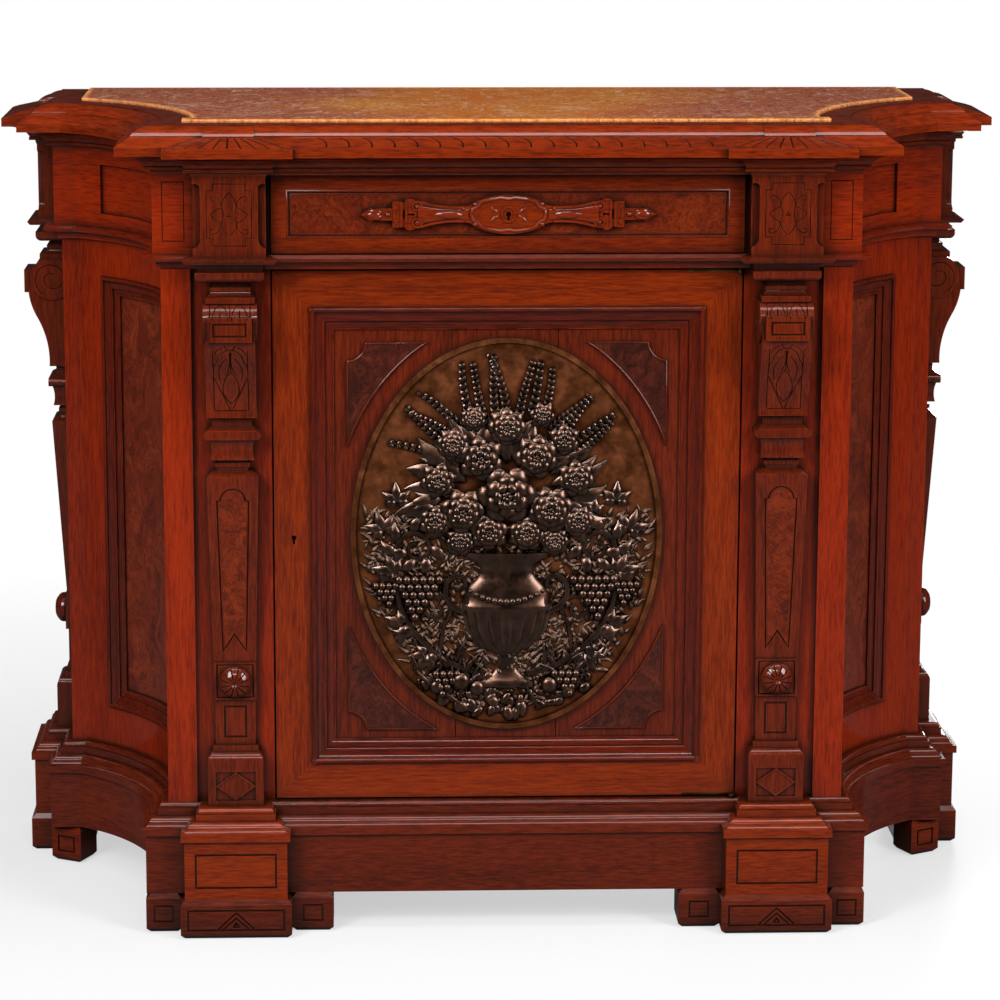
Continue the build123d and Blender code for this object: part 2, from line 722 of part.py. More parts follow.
def rear_post():
    """Corner post behind the hollow, with the side board."""
    x_in = CASE_HALF - BOARD
    front = block(-CASE_HALF, FLAT_IN_X, REAR_FLAT_Y, REAR_FLAT_Y + BOARD, Z_SHAFT, Z_TOP_BOARD)
    return front + block(-CASE_HALF, -x_in, REAR_FLAT_Y, BACK_Y, Z_SHAFT, Z_TOP_BOARD)


def sector(out, inn, start, end, low, high):
    """A curved slab of the left hollow, between two offsets, angles and heights."""
    points = [(out, low, 0), (out, high, 0)]
    return round_hollow(points, [(inn, high), (inn, low)], start, end)


def corner_frame():
    frame = sector(0, -BOARD, HOLLOW_FROM, HOLLOW_TO, Z_SHAFT, Z_TOP_BOARD)
    frame &= block(-CASE_HALF, 0, RETURN_Y, REAR_FLAT_Y, Z_SHAFT, Z_TOP_BOARD)
    return frame - sector(OVERRUN, -OVERRUN, PANEL_START_ANGLE, PANEL_END_ANGLE, PANEL_LOW, PANEL_HIGH)


def corner_panel():
    edge = math.degrees(CURVE_GAP / HOLLOW_R)
    start, end = PANEL_START_ANGLE + edge, PANEL_END_ANGLE - edge
    face = -CORNER_PANEL_SET
    return sector(face, face - CORNER_PANEL_T, start, end, PANEL_LOW + CURVE_GAP, PANEL_HIGH - CURVE_GAP)


def corner_moulding():
    """The moulded frame round the curved panel, sunk below its edge inwards."""
    # a straight upright stands off the curved panel by the rise of its arc
    base = CORNER_MOULD_W**2 / (HOLLOW_R + HOLLOW_R) + CURVE_GAP - CORNER_PANEL_SET
    rise = CORNER_MOULD_OUT - base
    low, high = PANEL_LOW + CURVE_GAP, PANEL_HIGH - CURVE_GAP
    edge = math.degrees(CURVE_GAP / HOLLOW_R)
    start, end = PANEL_START_ANGLE + edge, PANEL_END_ANGLE - edge
    bottom = [(base + rise * h, low + CORNER_MOULD_W * s, b) for s, h, b in MOULD_SHARES]
    top = [(base + rise * h, high - CORNER_MOULD_W * s, -b) for s, h, b in MOULD_SHARES]
    members = [round_hollow(bottom, [], start, end), round_hollow(top, [], start, end)]
    for angle, way in ((start, 1), (end, -1)):
        upright = corner_upright(angle, way, base, rise, low, high)
        origin, along = corner_axes(angle, way)
        # each corner is cut on the mitre between an upright and a curved member
        for i, z, up in ((0, low, 1), (1, high, -1)):
            corner = origin + Vector(0, 0, z)
            mitre = along - Vector(0, 0, up)
            members[i] = keep_side(members[i], corner, mitre)
            upright = keep_side(upright, corner, -mitre)
        members.append(upright)
    return members


def corner_axes(angle, way):
    """A point on the hollow's wall plane at an angle, and the way along the wall."""
    ray = Vector(math.cos(math.radians(angle)), math.sin(math.radians(angle)), 0)
    return Vector(HOLLOW_X, HOLLOW_Y, 0) + ray * HOLLOW_R, Vector(-ray.Y, ray.X, 0) * way


def corner_upright(angle, way, base, rise, low, high):
    """An upright of the corner moulding, from low to high."""
    foot, along = corner_axes(angle, way)
    ray = (foot - Vector(HOLLOW_X, HOLLOW_Y, 0)).normalized()

    def place(p):
        return foot + Vector(0, 0, low) - ray * p[1] + along * p[0]

    points = [(CORNER_MOULD_W * s, base + rise * h, -b) for s, h, b in MOULD_SHARES]
    return extrude(profile_face(points, [], place), amount=high - low, dir=(0, 0, 1))


def frieze_points():
    points = moulding(ARCHITRAVE_SHARES, Z_ARCHITRAVE, ARCHITRAVE_H, ARCHITRAVE_OUT, STEP_BACK)
    return points + [(FRIEZE_RUN_OUT, Z_FRIEZE, 0), (FRIEZE_RUN_OUT, Z_CORNICE, 0)]


def frieze_side():
    points = frieze_points()
    inner = backing(points, -CURVE_GAP)
    ring, corner = hollow_run(points, inner)
    middle = (Z_FRIEZE + Z_CORNICE) / 2
    low, high = middle - FRIEZE_PANEL_H / 2, middle + FRIEZE_PANEL_H / 2
    face = FRIEZE_RUN_OUT
    ring -= sector(face + OVERRUN, face - FRIEZE_PANEL_D, FRIEZE_START_ANGLE, FRIEZE_END_ANGLE, low, high)
    half = half_block(points, inner) - put_front(frieze_block())
    return [ring, corner - put_side(frieze_block()), half]


def drawer_rails():
    """The rail under the drawer, with its lip, and the rail over it."""
    points = moulding(ARCHITRAVE_SHARES, Z_ARCHITRAVE, ARCHITRAVE_H, ARCHITRAVE_OUT, CENTRE_ARCHITRAVE_DROP)
    lip = front_run(points, backing(points, 0), -PILASTER_X, PILASTER_X)
    left = put_front(frieze_block()) + put_front(bracket())
    lip = lip - left - mirrored(left)
    lower = lip + block(-STILE_IN_X, STILE_IN_X, FRONT_Y, FRONT_Y + RAIL_D, RAIL_LOW, Z_FRIEZE)
    lower -= Pos(PIVOT_X, PIVOT_Y, RAIL_LOW) * hinge_seat(LEAF_T + HINGE_SHIM)
    upper = block(-STILE_IN_X, STILE_IN_X, DRAWER_FACE_Y, FRONT_Y + RAIL_D, Z_CORNICE, Z_TOP_BOARD)
    upper -= drawer_bolt_body(BOLT_PLAY, BOLT_THROW + BOLT_BACK)
    return [lower, upper]


def cornice_points(drop):
    """Bed mouldings, lip and wash, then the ovolo and the rim."""
    points = moulding(CORNICE_SHARES, Z_CORNICE, CORNICE_H, CORNICE_OUT, drop)
    ovolo_low = Z_WASH + OVOLO_RISE
    ovolo_high = Z_RIM - OVOLO_RISE
    points.append((OVOLO_OUT, Z_WASH, 0))
    points.append((OVOLO_OUT, ovolo_low, 0))
    points.append((RIM_OUT, ovolo_high, SOFT_ROUND_SHARE))
    points.append((RIM_OUT, Z_RIM, 0))
    return points


def cornice_inner(points):
    """Inside of the cornice: marble rebate, ledge over the case and the wall plane."""
    return [
        (-MARBLE_INSET, Z_RIM),
        (-MARBLE_INSET, Z_MARBLE),
        (-LEDGE, Z_MARBLE),
        (-LEDGE, Z_TOP_BOARD),
        (CURVE_GAP, Z_TOP_BOARD),
        (CURVE_GAP, points[0][1]),
    ]


def cornice_break():
    """The break forward of the cornice over a pilaster."""
    rows = []
    for out, z, bend in moulding(CORNICE_SHARES, Z_CORNICE, CORNICE_H, CORNICE_OUT):
        half = SPREAD + out if z < Z_CORNICE + CORNICE_H / 4 else CORNICE_HALF - (CORNICE_OUT - out)
        rows.append((z, out, half, bend))
    rows.append((Z_WASH, OVOLO_BREAK_OUT + OVOLO_FILLET, OVOLO_BREAK_HALF + SPREAD, 0))
    top = [
        (Z_WASH, OVOLO_BREAK_OUT, OVOLO_BREAK_HALF, 0),
        (Z_WASH + OVOLO_RISE, OVOLO_BREAK_OUT, OVOLO_BREAK_HALF, 0),
        (Z_RIM - OVOLO_RISE, RIM_OUT + SPREAD / 2, OVOLO_BREAK_HALF - FOOT_EDGE / 2, SOFT_ROUND_SHARE),
        (Z_RIM, RIM_OUT + SPREAD / 2, OVOLO_BREAK_HALF - FOOT_EDGE / 2, 0),
    ]
    return break_block(rows) + break_block(top)


def cornice_front():
    """The centre run with the breaks over both front pilasters."""
    points = cornice_points(CENTRE_CORNICE_DROP)
    run = front_run(points, cornice_inner(points), -PILASTER_X, PILASTER_X)
    left = put_front(cornice_break())
    run = run + left + mirrored(left)
    return run - block(-STILE_IN_X, STILE_IN_X, DRAWER_FACE_Y, FRONT_Y, 0, Z_TOP_BOARD)


def cornice_side():
    points = cornice_points(STEP_BACK)
    inner = cornice_inner(points)
    ring, corner = hollow_run(points, inner)
    forward = put_side(cornice_break())
    half = half_block(points, inner) - put_front(cornice_break())
    return [ring, corner - forward, forward, half]


def case_plan(offset, low, high):
    """The plan of the case as a slab, offset out of the wall plane."""
    half = CASE_HALF + offset
    slab = block(-half, half, FRONT_Y - offset, BACK_Y, low, high)
    corner = Pos(HOLLOW_X, HOLLOW_Y, (low + high) / 2) * Cylinder(HOLLOW_R - offset, high - low)
    corner &= block(-CASE_DEPTH * 2, 0, -CASE_DEPTH * 2, REAR_FLAT_Y - offset, low, high)
    slab = slab - corner - mirrored(corner)
    strip = STRIP_OUT_X + offset
    return slab + block(-strip, strip, FRONT_Y - offset, RETURN_Y, low, high)


def bottom_board():
    board = case_plan(-BOARD - CURVE_GAP, Z_SHAFT - BOTTOM_T, Z_SHAFT)
    board -= block(-CASE_HALF, CASE_HALF, BACK_IN_Y, BACK_Y, 0, Z_SHAFT)
    return board


def back_panel():
    half = CASE_HALF - BOARD
    return block(-half, half, BACK_IN_Y, BACK_Y, Z_PLINTH, Z_TOP_BOARD)


def top_board():
    return case_plan(-LEDGE - CURVE_GAP, Z_TOP_BOARD, Z_MARBLE)


def marble_top():
    return case_plan(-MARBLE_INSET - CURVE_GAP, Z_MARBLE, Z_RIM + MARBLE_PROUD)


def shelf():
    board = case_plan(-BOARD - GUIDE_GAP, SHELF_Z, SHELF_Z + SHELF_T)
    front = FRONT_Y + SHELF_SETBACK
    board -= block(-CASE_HALF, CASE_HALF, FRONT_Y - OVERRUN, front, SHELF_Z, SHELF_Z + SHELF_T)
    board -= block(-CASE_HALF, CASE_HALF, BACK_IN_Y, BACK_Y, SHELF_Z, SHELF_Z + SHELF_T)
    post = rear_post()
    return board - post - mirrored(post)


def shelf_supports():
    """Cleats on the backs of the stiles and along the back panel."""
    x_far = HOLLOW_X + HOLLOW_R + BOARD + GUIDE_GAP
    low = SHELF_Z - CLEAT_H
    front = block(x_far, x_far + CLEAT_W, DOOR_BACK_Y, DOOR_BACK_Y + CLEAT_D, low, SHELF_Z)
    half = CASE_HALF - BOARD - CLEAT_H
    rear = block(-half, half, BACK_IN_Y - CLEAT_H, BACK_IN_Y, low, SHELF_Z)
    return [front, mirrored(front), rear]


def drawer_runner():
    """A runner with its guide, from the lower rail to the back."""
    y_from = FRONT_Y + RAIL_D
    inner = STILE_IN_X - DRAWER_SIDE_GAP + GUIDE_GAP
    outer = inner + GUIDE_W
    top = DRAWER_BOX_LOW - SLIDE_GAP
    runner = block(-outer, RUNNER_W - outer, y_from, BACK_IN_Y, top - RUNNER_H, top)
    return runner + block(-outer, -inner, y_from, BACK_IN_Y, top, top + GUIDE_H)


def door_member(corners):
    """A mitred stile or rail of the door from its four corners."""
    face = Face(Wire.make_polygon([(x, FRONT_Y, z) for x, z in corners], close=True))
    return extrude(face, amount=BOARD, dir=(0, 1, 0))


def keyhole(x, z, y, depth):
    """A round hole over a slot, cut through from a face."""
    hole = Location((x, y, z), (90, 0, 0)) * Cylinder(KEYHOLE_R, depth)
    slot_low = z - KEYHOLE_SLOT_H
    return hole + block(x - KEYHOLE_SLOT_W / 2, x + KEYHOLE_SLOT_W / 2, y - depth / 2, y + depth / 2, slot_low, z)


def hinge_seat(height):
    """The space of a leaf and its eye, measured from the pivot."""
    seat = block(-LEAF_L, 0, PIVOT_OFF, PIVOT_OFF + LEAF_W, 0, height)
    seat += block(-EYE_R, EYE_R, 0, PIVOT_OFF + LEAF_W, 0, height)
    return seat + Pos(0, 0, height / 2) * Cylinder(EYE_R, height)


def door_frame():
    x, b = DOOR_HALF, DOOR_BAND
    z0, z1 = DOOR_LOW, DOOR_HIGH
    left = door_member([(-x, z0), (-x, z1), (b - x, z1 - b), (b - x, z0 + b)])
    right = door_member([(x, z0), (x, z1), (x - b, z1 - b), (x - b, z0 + b)])
    top = door_member([(-x, z1), (x, z1), (x - b, z1 - b), (b - x, z1 - b)])
    bottom = door_member([(-x, z0), (x, z0), (x - b, z0 + b), (b - x, z0 + b)])
    left -= keyhole(-KEYHOLE_X, KEYHOLE_Z, FRONT_Y, CASE_DEPTH)
    seats = [
        Pos(PIVOT_X, PIVOT_Y, z1 - LEAF_T) * hinge_seat(LEAF_T),
        Pos(PIVOT_X, PIVOT_Y, z0) * hinge_seat(LEAF_T),
    ]
    members = []
    for member in (left, right, top, bottom):
        for seat in seats:
            member -= seat
        members.append(member)
    return members


def ellipse_slab(half_x, half_z, y_from, y_to):
    """An upright oval slab centred on the relief."""
    outline = Plane((0, y_from, OVAL_RISE), x_dir=(1, 0, 0), z_dir=(0, -1, 0)) * Ellipse(half_x, half_z)
    return extrude(outline, amount=y_to - y_from, dir=(0, 1, 0))


def door_boards():
    """Three upright boards with the seat of the oval relief sunk in their face."""
    x, b = DOOR_HALF - DOOR_BAND, BOARD_GAP
    low, high = DOOR_LOW + DOOR_BAND, DOOR_HIGH - DOOR_BAND
    seat_x, seat_z = OVAL_X - OVAL_RIM_W, OVAL_Z - OVAL_RIM_W
    seat = ellipse_slab(seat_x, seat_z, PANEL_FACE_Y - OVERRUN, PANEL_FACE_Y + OVAL_SUNK)
    boards = []
    for x0, x1 in ((-x, -BOARD_SEAM_X - b), (-BOARD_SEAM_X, BOARD_SEAM_X), (BOARD_SEAM_X + b, x)):
        boards.append(block(x0, x1, PANEL_FACE_Y, DOOR_BACK_Y, low, high) - seat)
    return boards


def medallion():
    """The oval plaque: a rim that laps the boards and a dished field behind it."""
    face = PANEL_FACE_Y - OVAL_RIM_T
    seat_x, seat_z = OVAL_X - OVAL_RIM_W, OVAL_Z - OVAL_RIM_W
    plaque = ellipse_slab(OVAL_X, OVAL_Z, face, PANEL_FACE_Y)
    plaque += ellipse_slab(
        seat_x - CURVE_GAP, seat_z - CURVE_GAP, PANEL_FACE_Y, PANEL_FACE_Y + OVAL_SUNK - CURVE_GAP
    )
    return plaque - ellipse_slab(seat_x, seat_z, face, face + OVAL_DISH)


def spandrel(x_way, z_way):
    """A raised corner piece between the oval and the panel's corner."""
    edge_z = SPANDREL_HIGH if z_way > 0 else SPANDREL_LOW
    tall_z = edge_z - z_way * SPANDREL_TALL
    low, high = min(edge_z, tall_z), max(edge_z, tall_z)
    face = PANEL_FACE_Y - SPANDREL_T
    piece = block(0, SPANDREL_X * x_way, face, PANEL_FACE_Y, low, high)
    piece -= ellipse_slab(OVAL_X + SPANDREL_OFF, OVAL_Z + SPANDREL_OFF, face - OVERRUN, PANEL_FACE_Y + OVERRUN)
    notch = Location((SPANDREL_X * x_way, face, edge_z), (90, 0, 0)) * Cylinder(SPANDREL_NOTCH, OVERRUN)
    return piece - notch


def door_moulding():
    """The moulding inside the door frame; each member runs the full length."""
    x = DOOR_HALF - DOOR_BAND
    low, high = DOOR_LOW + DOOR_BAND, DOOR_HIGH - DOOR_BAND
    rise = PANEL_FACE_Y - FRONT_Y + MOULD_PROUD
    points = [(MOULD_W * s, rise * h, -b) for s, h, b in MOULD_SHARES]

    def upright(way):
        face = profile_face(points, [], lambda p: Vector(way * (x - p[0]), PANEL_FACE_Y - p[1], low))
        return extrude(face, amount=high - low, dir=(0, 0, 1))

    def level(z, way):
        face = profile_face(points, [], lambda p: Vector(-x, PANEL_FACE_Y - p[1], z + way * p[0]))
        return extrude(face, amount=x + x, dir=(1, 0, 0))

    return upright(-1) + upright(1) + level(low, 1) + level(high, -1)


def lock_case(bolt):
    """A lock's case round its bolt, on the back of the door."""
    x = -DOOR_HALF + BOLT_BACK
    y = DOOR_BACK_Y
    z = KEYHOLE_Z
    case = block(x, x + LOCK_W, y, y + LOCK_T, z - LOCK_H / 2, z + LOCK_H / 2)
    return case - bolt


def door_bolt_body(play, throw):
    """The door's bolt, grown by play and reaching out by throw."""
    x = -DOOR_HALF + BOLT_BACK + BOLT_BACK
    y = DOOR_BACK_Y + LOCK_WALL
    z = KEYHOLE_Z + BOLT_H
    return block(
        x - throw,
        x + BOLT_L + play,
        y - play,
        y + BOLT_T + play,
        z - BOLT_H / 2 - play,
        z + BOLT_H / 2 + play,
    )


def drawer_lock_case(bolt):
    y = DRAWER_BACK_Y
    high = DRAWER_TOP - BOLT_BACK
    low = high - LOCK_H
    return block(-LOCK_W / 2, LOCK_W / 2, y, y + LOCK_T, low, high) - bolt


def drawer_bolt_body(play, throw):
    y = DRAWER_BACK_Y + LOCK_WALL
    high = DRAWER_TOP - BOLT_BACK - BOLT_BACK
    return block(
        -BOLT_H / 2 - play,
        BOLT_H / 2 + play,
        y - play,
        y + BOLT_T + play,
        high - BOLT_L - play,
        high + throw,
    )


def frame_leaf(low, pin_low, pin_high):
    """A leaf let into the case, with the pivot pin."""
    leaf = Pos(PIVOT_X, PIVOT_Y, low) * hinge_seat(LEAF_T)
    middle = (pin_low + pin_high) / 2
    return leaf + Pos(PIVOT_X, PIVOT_Y, middle) * Cylinder(PIN_R, pin_high - pin_low)


def door_leaf(low):
    """A leaf let into the door, with the eye round the pin."""
    leaf = Pos(PIVOT_X, PIVOT_Y, low) * hinge_seat(LEAF_T)
    return leaf - Pos(PIVOT_X, PIVOT_Y, low) * Cylinder(PIN_R + PIN_PLAY, OVERRUN)


def frame_leaves():
    upper = RAIL_LOW + HINGE_SHIM
    lower = Z_SHAFT - LEAF_T
    return [
        frame_leaf(upper, DOOR_HIGH - LEAF_T, upper + LEAF_T),
        frame_leaf(lower, lower, DOOR_LOW + LEAF_T),
    ]


def drawer_front():
    x = STILE_IN_X - DRAWER_GAP
    front = block(-x, x, DRAWER_FACE_Y, DRAWER_BACK_Y, DRAWER_LOW, DRAWER_TOP)
    field_x = x - DRAWER_BAND
    low, high = DRAWER_LOW + DRAWER_BAND, DRAWER_TOP - DRAWER_BAND
    front -= block(-field_x, field_x, DRAWER_FACE_Y, DRAWER_FACE_Y + DRAWER_FIELD_D, low, high)
    middle = (DRAWER_LOW + DRAWER_TOP) / 2
    return front - keyhole(0, middle, DRAWER_FACE_Y, CASE_DEPTH)


def drawer_box():
    """Two sides, a back and a bottom behind the drawer front."""
    outer = STILE_IN_X - DRAWER_SIDE_GAP
    inner = outer - DRAWER_SIDE_T
    y0, y1 = DRAWER_BACK_Y, DRAWER_BACK_Y + DRAWER_L
    low, high = DRAWER_BOX_LOW, DRAWER_BOX_LOW + DRAWER_SIDE_H
    floor = low + DRAWER_BOTTOM_T
    side = block(-outer, -inner, y0, y1, low, high)
    back = block(-inner, inner, y1 - DRAWER_SIDE_T, y1, floor, high)
    bottom = block(-inner, inner, y0, y1, low, floor)
    return [side, mirrored(side), back, bottom]


def pull_part(shares, y, middle):
    """A flat carved part of the pull from its outline shares."""
    half = PULL_H / 2
    corners = [(PULL_HALF * u, y, middle + half * w) for u, w in shares]
    return extrude(Face(Wire.make_polygon(corners, close=True)), amount=PULL_T, dir=(0, -1, 0))


def drawer_pull():
    """The carved escutcheon: a cartouche, two arms with scrolls, slabs and finials."""
    y = DRAWER_FACE_Y + DRAWER_FIELD_D
    middle = (DRAWER_LOW + DRAWER_TOP) / 2
    half = PULL_H / 2
    arm = pull_part(PULL_ARM_SHARES, y, middle) + pull_part(PULL_FINIAL_SHARES, y, middle)
    u0, u1, w = PULL_BASE_SHARES
    arm += block(PULL_HALF * u0, PULL_HALF * u1, y - PULL_T, y, middle - half * w, middle + half * w)
    u0, u1, w = PULL_SLAB_SHARES
    arm += block(PULL_HALF * u0, PULL_HALF * u1, y - PULL_T, y, middle - half * w, middle + half * w)
    u0, w, r = PULL_SCROLL_SHARES
    for way in (-1, 1):
        centre = (PULL_HALF * u0, y - PULL_T / 2, middle + half * w * way)
        arm += Location(centre, (90, 0, 0)) * Cylinder(half * r, PULL_T)
    plane = Plane((0, y, middle), x_dir=(1, 0, 0), z_dir=(0, -1, 0))
    oval = extrude(plane * Ellipse(PULL_CARTOUCHE_HALF, half), amount=PULL_T, dir=(0, -1, 0))
    pull = oval + arm + mirrored(arm)
    return pull - keyhole(0, middle, y, CASE_DEPTH)


def save(name, *solids):
    """One file per node; several solids share it as a group."""
    flat = []
    for shape in solids:
        flat.extend(shape.solids())
    body = flat[0] if len(flat) == 1 else Compound(children=flat)
    export_step(body, f"parts/{name}.step")


def save_pair(name, shape):
    """The same piece on both sides; a list is a group of solids."""
    group = shape if isinstance(shape, list) else [shape]
    save(f"left_{name}", *group)
    save(f"right_{name}", *mirrored(group))


def build_pilasters():
    makers = (("pedestal", pedestal), ("shaft", shaft), ("bracket", bracket), ("frieze_block", frieze_block))
    for name, make in makers:
        shape = make()
        save_pair(f"front_{name}", put_front(shape))
        save_pair(f"side_{name}", put_side(shape))
    save_pair("front_feet", [put_front(foot) for foot in front_feet()])
    save_pair("side_foot", put_side(main_foot()))
    boss = rosette()
    front, side = put_front(boss), put_side(boss)
    save("rosettes", front, side, mirrored(front), mirrored(side))


def build_case():
    save("plinth_front", plinth_front())
    save_pair("plinth", plinth_side())
    foot = canted_foot()
    save("canted_feet", foot, mirrored(foot))
    save_pair("front_stile", front_stile())
    save_pair("rear_post", rear_post())
    save_pair("corner_frame", corner_frame())
    panel, frame = corner_panel(), corner_moulding()
    save("corner_panels", panel, mirrored(panel))
    save("corner_mouldings", *frame, *mirrored(frame))
    save_pair("frieze", frieze_side())
    save("drawer_rails", *drawer_rails())
    save("cornice_front", cornice_front())
    save_pair("cornice", cornice_side())
    save("top_board", top_board())
    save("marble_top", marble_top())
    save("bottom_board", bottom_board())
    save("back_panel", back_panel())
    save("shelf", shelf())
    save("shelf_supports", *shelf_supports())
    runner = drawer_runner()
    save("drawer_runners", runner, mirrored(runner))
    save("hinge_frame_leaves", *frame_leaves())


def build_door():
    save("door_frame", *door_frame())
    save("door_panel", *door_boards())
    save("door_moulding", door_moulding())
    save("door_spandrels", *[spandrel(x, z) for x in (-1, 1) for z in (-1, 1)])
    save("medallion", medallion())
    save("hinge_door_leaves", door_leaf(DOOR_HIGH - LEAF_T), door_leaf(DOOR_LOW))
    save("door_lock", lock_case(door_bolt_body(BOLT_PLAY, CASE_HALF)))
    save("door_bolt", door_bolt_body(0, 0))


def build_drawer():
    save("drawer_front", drawer_front())
    save("drawer_box", *drawer_box())
    save("drawer_escutcheon", drawer_pull())
    save("drawer_lock", drawer_lock_case(drawer_bolt_body(BOLT_PLAY, CASE_HALF)))
    save("drawer_bolt", drawer_bolt_body(0, 0))


os.makedirs("parts", exist_ok=True)
build_pilasters()
build_case()
build_door()
build_drawer()
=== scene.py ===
# %% [markdown]
# # A side cabinet with hollow front corners
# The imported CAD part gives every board, moulding and joint of this mahogany cabinet.
# This notebook dresses it: polished wood, a marble top, a cast bronze relief on the
# door, and the carved and incised ornament of the pilasters and the drawer pull.
# Everything is in metres, in the frame of the CAD part: X runs across, the front
# faces -Y, Z is up, and the floor is at zero.

import bmesh
import bpy
import json
import math
import random
from mathutils import Matrix, Vector
from mathutils.bvhtree import BVHTree

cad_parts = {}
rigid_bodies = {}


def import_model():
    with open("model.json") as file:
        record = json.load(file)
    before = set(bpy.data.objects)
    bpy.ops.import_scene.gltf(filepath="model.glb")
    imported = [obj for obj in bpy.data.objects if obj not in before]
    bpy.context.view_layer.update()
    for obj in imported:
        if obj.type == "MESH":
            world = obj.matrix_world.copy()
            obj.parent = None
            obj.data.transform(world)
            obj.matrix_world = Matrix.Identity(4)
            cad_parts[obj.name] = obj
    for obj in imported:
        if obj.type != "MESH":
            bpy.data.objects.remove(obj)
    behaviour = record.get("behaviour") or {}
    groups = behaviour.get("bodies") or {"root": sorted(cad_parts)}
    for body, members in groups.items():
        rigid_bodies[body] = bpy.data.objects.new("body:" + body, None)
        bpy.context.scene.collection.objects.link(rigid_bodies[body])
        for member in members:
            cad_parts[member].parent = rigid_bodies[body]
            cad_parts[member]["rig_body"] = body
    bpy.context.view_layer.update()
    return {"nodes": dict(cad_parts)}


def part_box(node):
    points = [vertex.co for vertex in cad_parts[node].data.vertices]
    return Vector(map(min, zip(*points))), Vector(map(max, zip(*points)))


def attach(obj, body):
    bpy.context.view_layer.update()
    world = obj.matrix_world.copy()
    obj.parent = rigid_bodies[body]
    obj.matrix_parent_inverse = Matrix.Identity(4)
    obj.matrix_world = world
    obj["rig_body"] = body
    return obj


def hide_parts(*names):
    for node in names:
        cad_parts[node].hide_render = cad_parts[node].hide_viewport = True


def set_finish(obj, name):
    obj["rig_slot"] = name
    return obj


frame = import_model()
NODES = frame["nodes"]
MM = 0.001

# %% [markdown]
# ## Helpers for node trees
# A material is a tree of nodes, and each wood, stone and metal here needs a dozen of
# them. Wiring them one call at a time is slow to read, so `put` makes a node, sets
# its properties, and feeds each socket: a plain value is written into it, and another
# node's output is linked to it. `group` opens a node group with named inputs and
# outputs, so that an effect that several finishes share, such as grime, is built once.

# %% Node helpers
def feed(tree, socket, value):
    if isinstance(value, bpy.types.NodeSocket):
        tree.links.new(value, socket)
    else:
        socket.default_value = value


def put(tree, kind, inputs=None, **settings):
    made = tree.nodes.new(kind)
    for key, value in settings.items():
        setattr(made, key, value)
    for key, value in (inputs or {}).items():
        feed(tree, made.inputs[key], value)
    return made


def group(name, inputs, outputs):
    tree = bpy.data.node_groups.new(name, "ShaderNodeTree")
    for label, value in inputs.items():
        kind = "NodeSocketFloat"
        if value is None:
            kind = "NodeSocketVector"
        elif isinstance(value, tuple):
            kind = "NodeSocketColor"
        socket = tree.interface.new_socket(label, in_out="INPUT", socket_type=kind)
        if value is not None:
            socket.default_value = value
    for label, kind in outputs.items():
        tree.interface.new_socket(label, in_out="OUTPUT", socket_type=kind)
    return tree, tree.nodes.new("NodeGroupInput").outputs, tree.nodes.new("NodeGroupOutput")


def give_out(tree, left, values):
    for label, value in values.items():
        feed(tree, left.inputs[label], value)
    print("group:", tree.name, "of", len(tree.nodes), "nodes")
    return tree


def use(tree, shared, inputs):
    return put(tree, "ShaderNodeGroup", inputs, node_tree=shared).outputs


def spread(tree, value, low, high, to_low=0.0, to_high=1.0):
    made = put(tree, "ShaderNodeMapRange", {0: value, 1: low, 2: high, 3: to_low, 4: to_high})
    return made.outputs[0]


def sum_up(tree, kind, first, second=0.0):
    return put(tree, "ShaderNodeMath", {0: first, 1: second}, operation=kind).outputs[0]


def colour(red, green, blue):
    return (red, green, blue, 1.0)


COLOUR, NUMBER = "NodeSocketColor", "NodeSocketFloat"

# %% [markdown]
# Four small steps come back in nearly every finish: two colours mixed by a share, a
# noise, a bump in the normal, and a mask of the edges. The mask compares the rounded
# normal of a Bevel node with the true one: where they part, there is an edge.

# %% Steps that the finishes share
def blend_colours(tree, share, first, second, mode="MIX"):
    made = put(tree, "ShaderNodeMix", {0: share, 6: first, 7: second}, data_type="RGBA", blend_type=mode)
    return made.outputs[2]


def noise(tree, where, scale, detail, roughness=0.5, distortion=0.0):
    return put(tree, "ShaderNodeTexNoise", {
        "Vector": where, "Scale": scale, "Detail": detail, "Roughness": roughness, "Distortion": distortion,
    }).outputs["Fac"]


def emboss(tree, shader, height, strength, distance):
    bump = put(tree, "ShaderNodeBump", {"Height": height, "Strength": strength, "Distance": distance})
    tree.links.new(bump.outputs[0], shader.inputs["Normal"])


def edge_mask(tree, radius, samples, flat, sharp):
    rounded = put(tree, "ShaderNodeBevel", {"Radius": radius}, samples=samples).outputs[0]
    true_normal = put(tree, "ShaderNodeNewGeometry").outputs["Normal"]
    same = put(tree, "ShaderNodeVectorMath", {0: rounded, 1: true_normal}, operation="DOT_PRODUCT")
    return spread(tree, same.outputs["Value"], flat, sharp)


# %% [markdown]
# ## Grain of the mahogany
# Straight-grained mahogany shows three things at once: slow bands of lighter and
# darker wood, fine fibres, and short dark pores. One noise can't do all three. Here
# three noises read the same stretched coordinates at different scales, and the
# material stretches the coordinates along the board before they come in, so that one
# group serves uprights and rails alike.

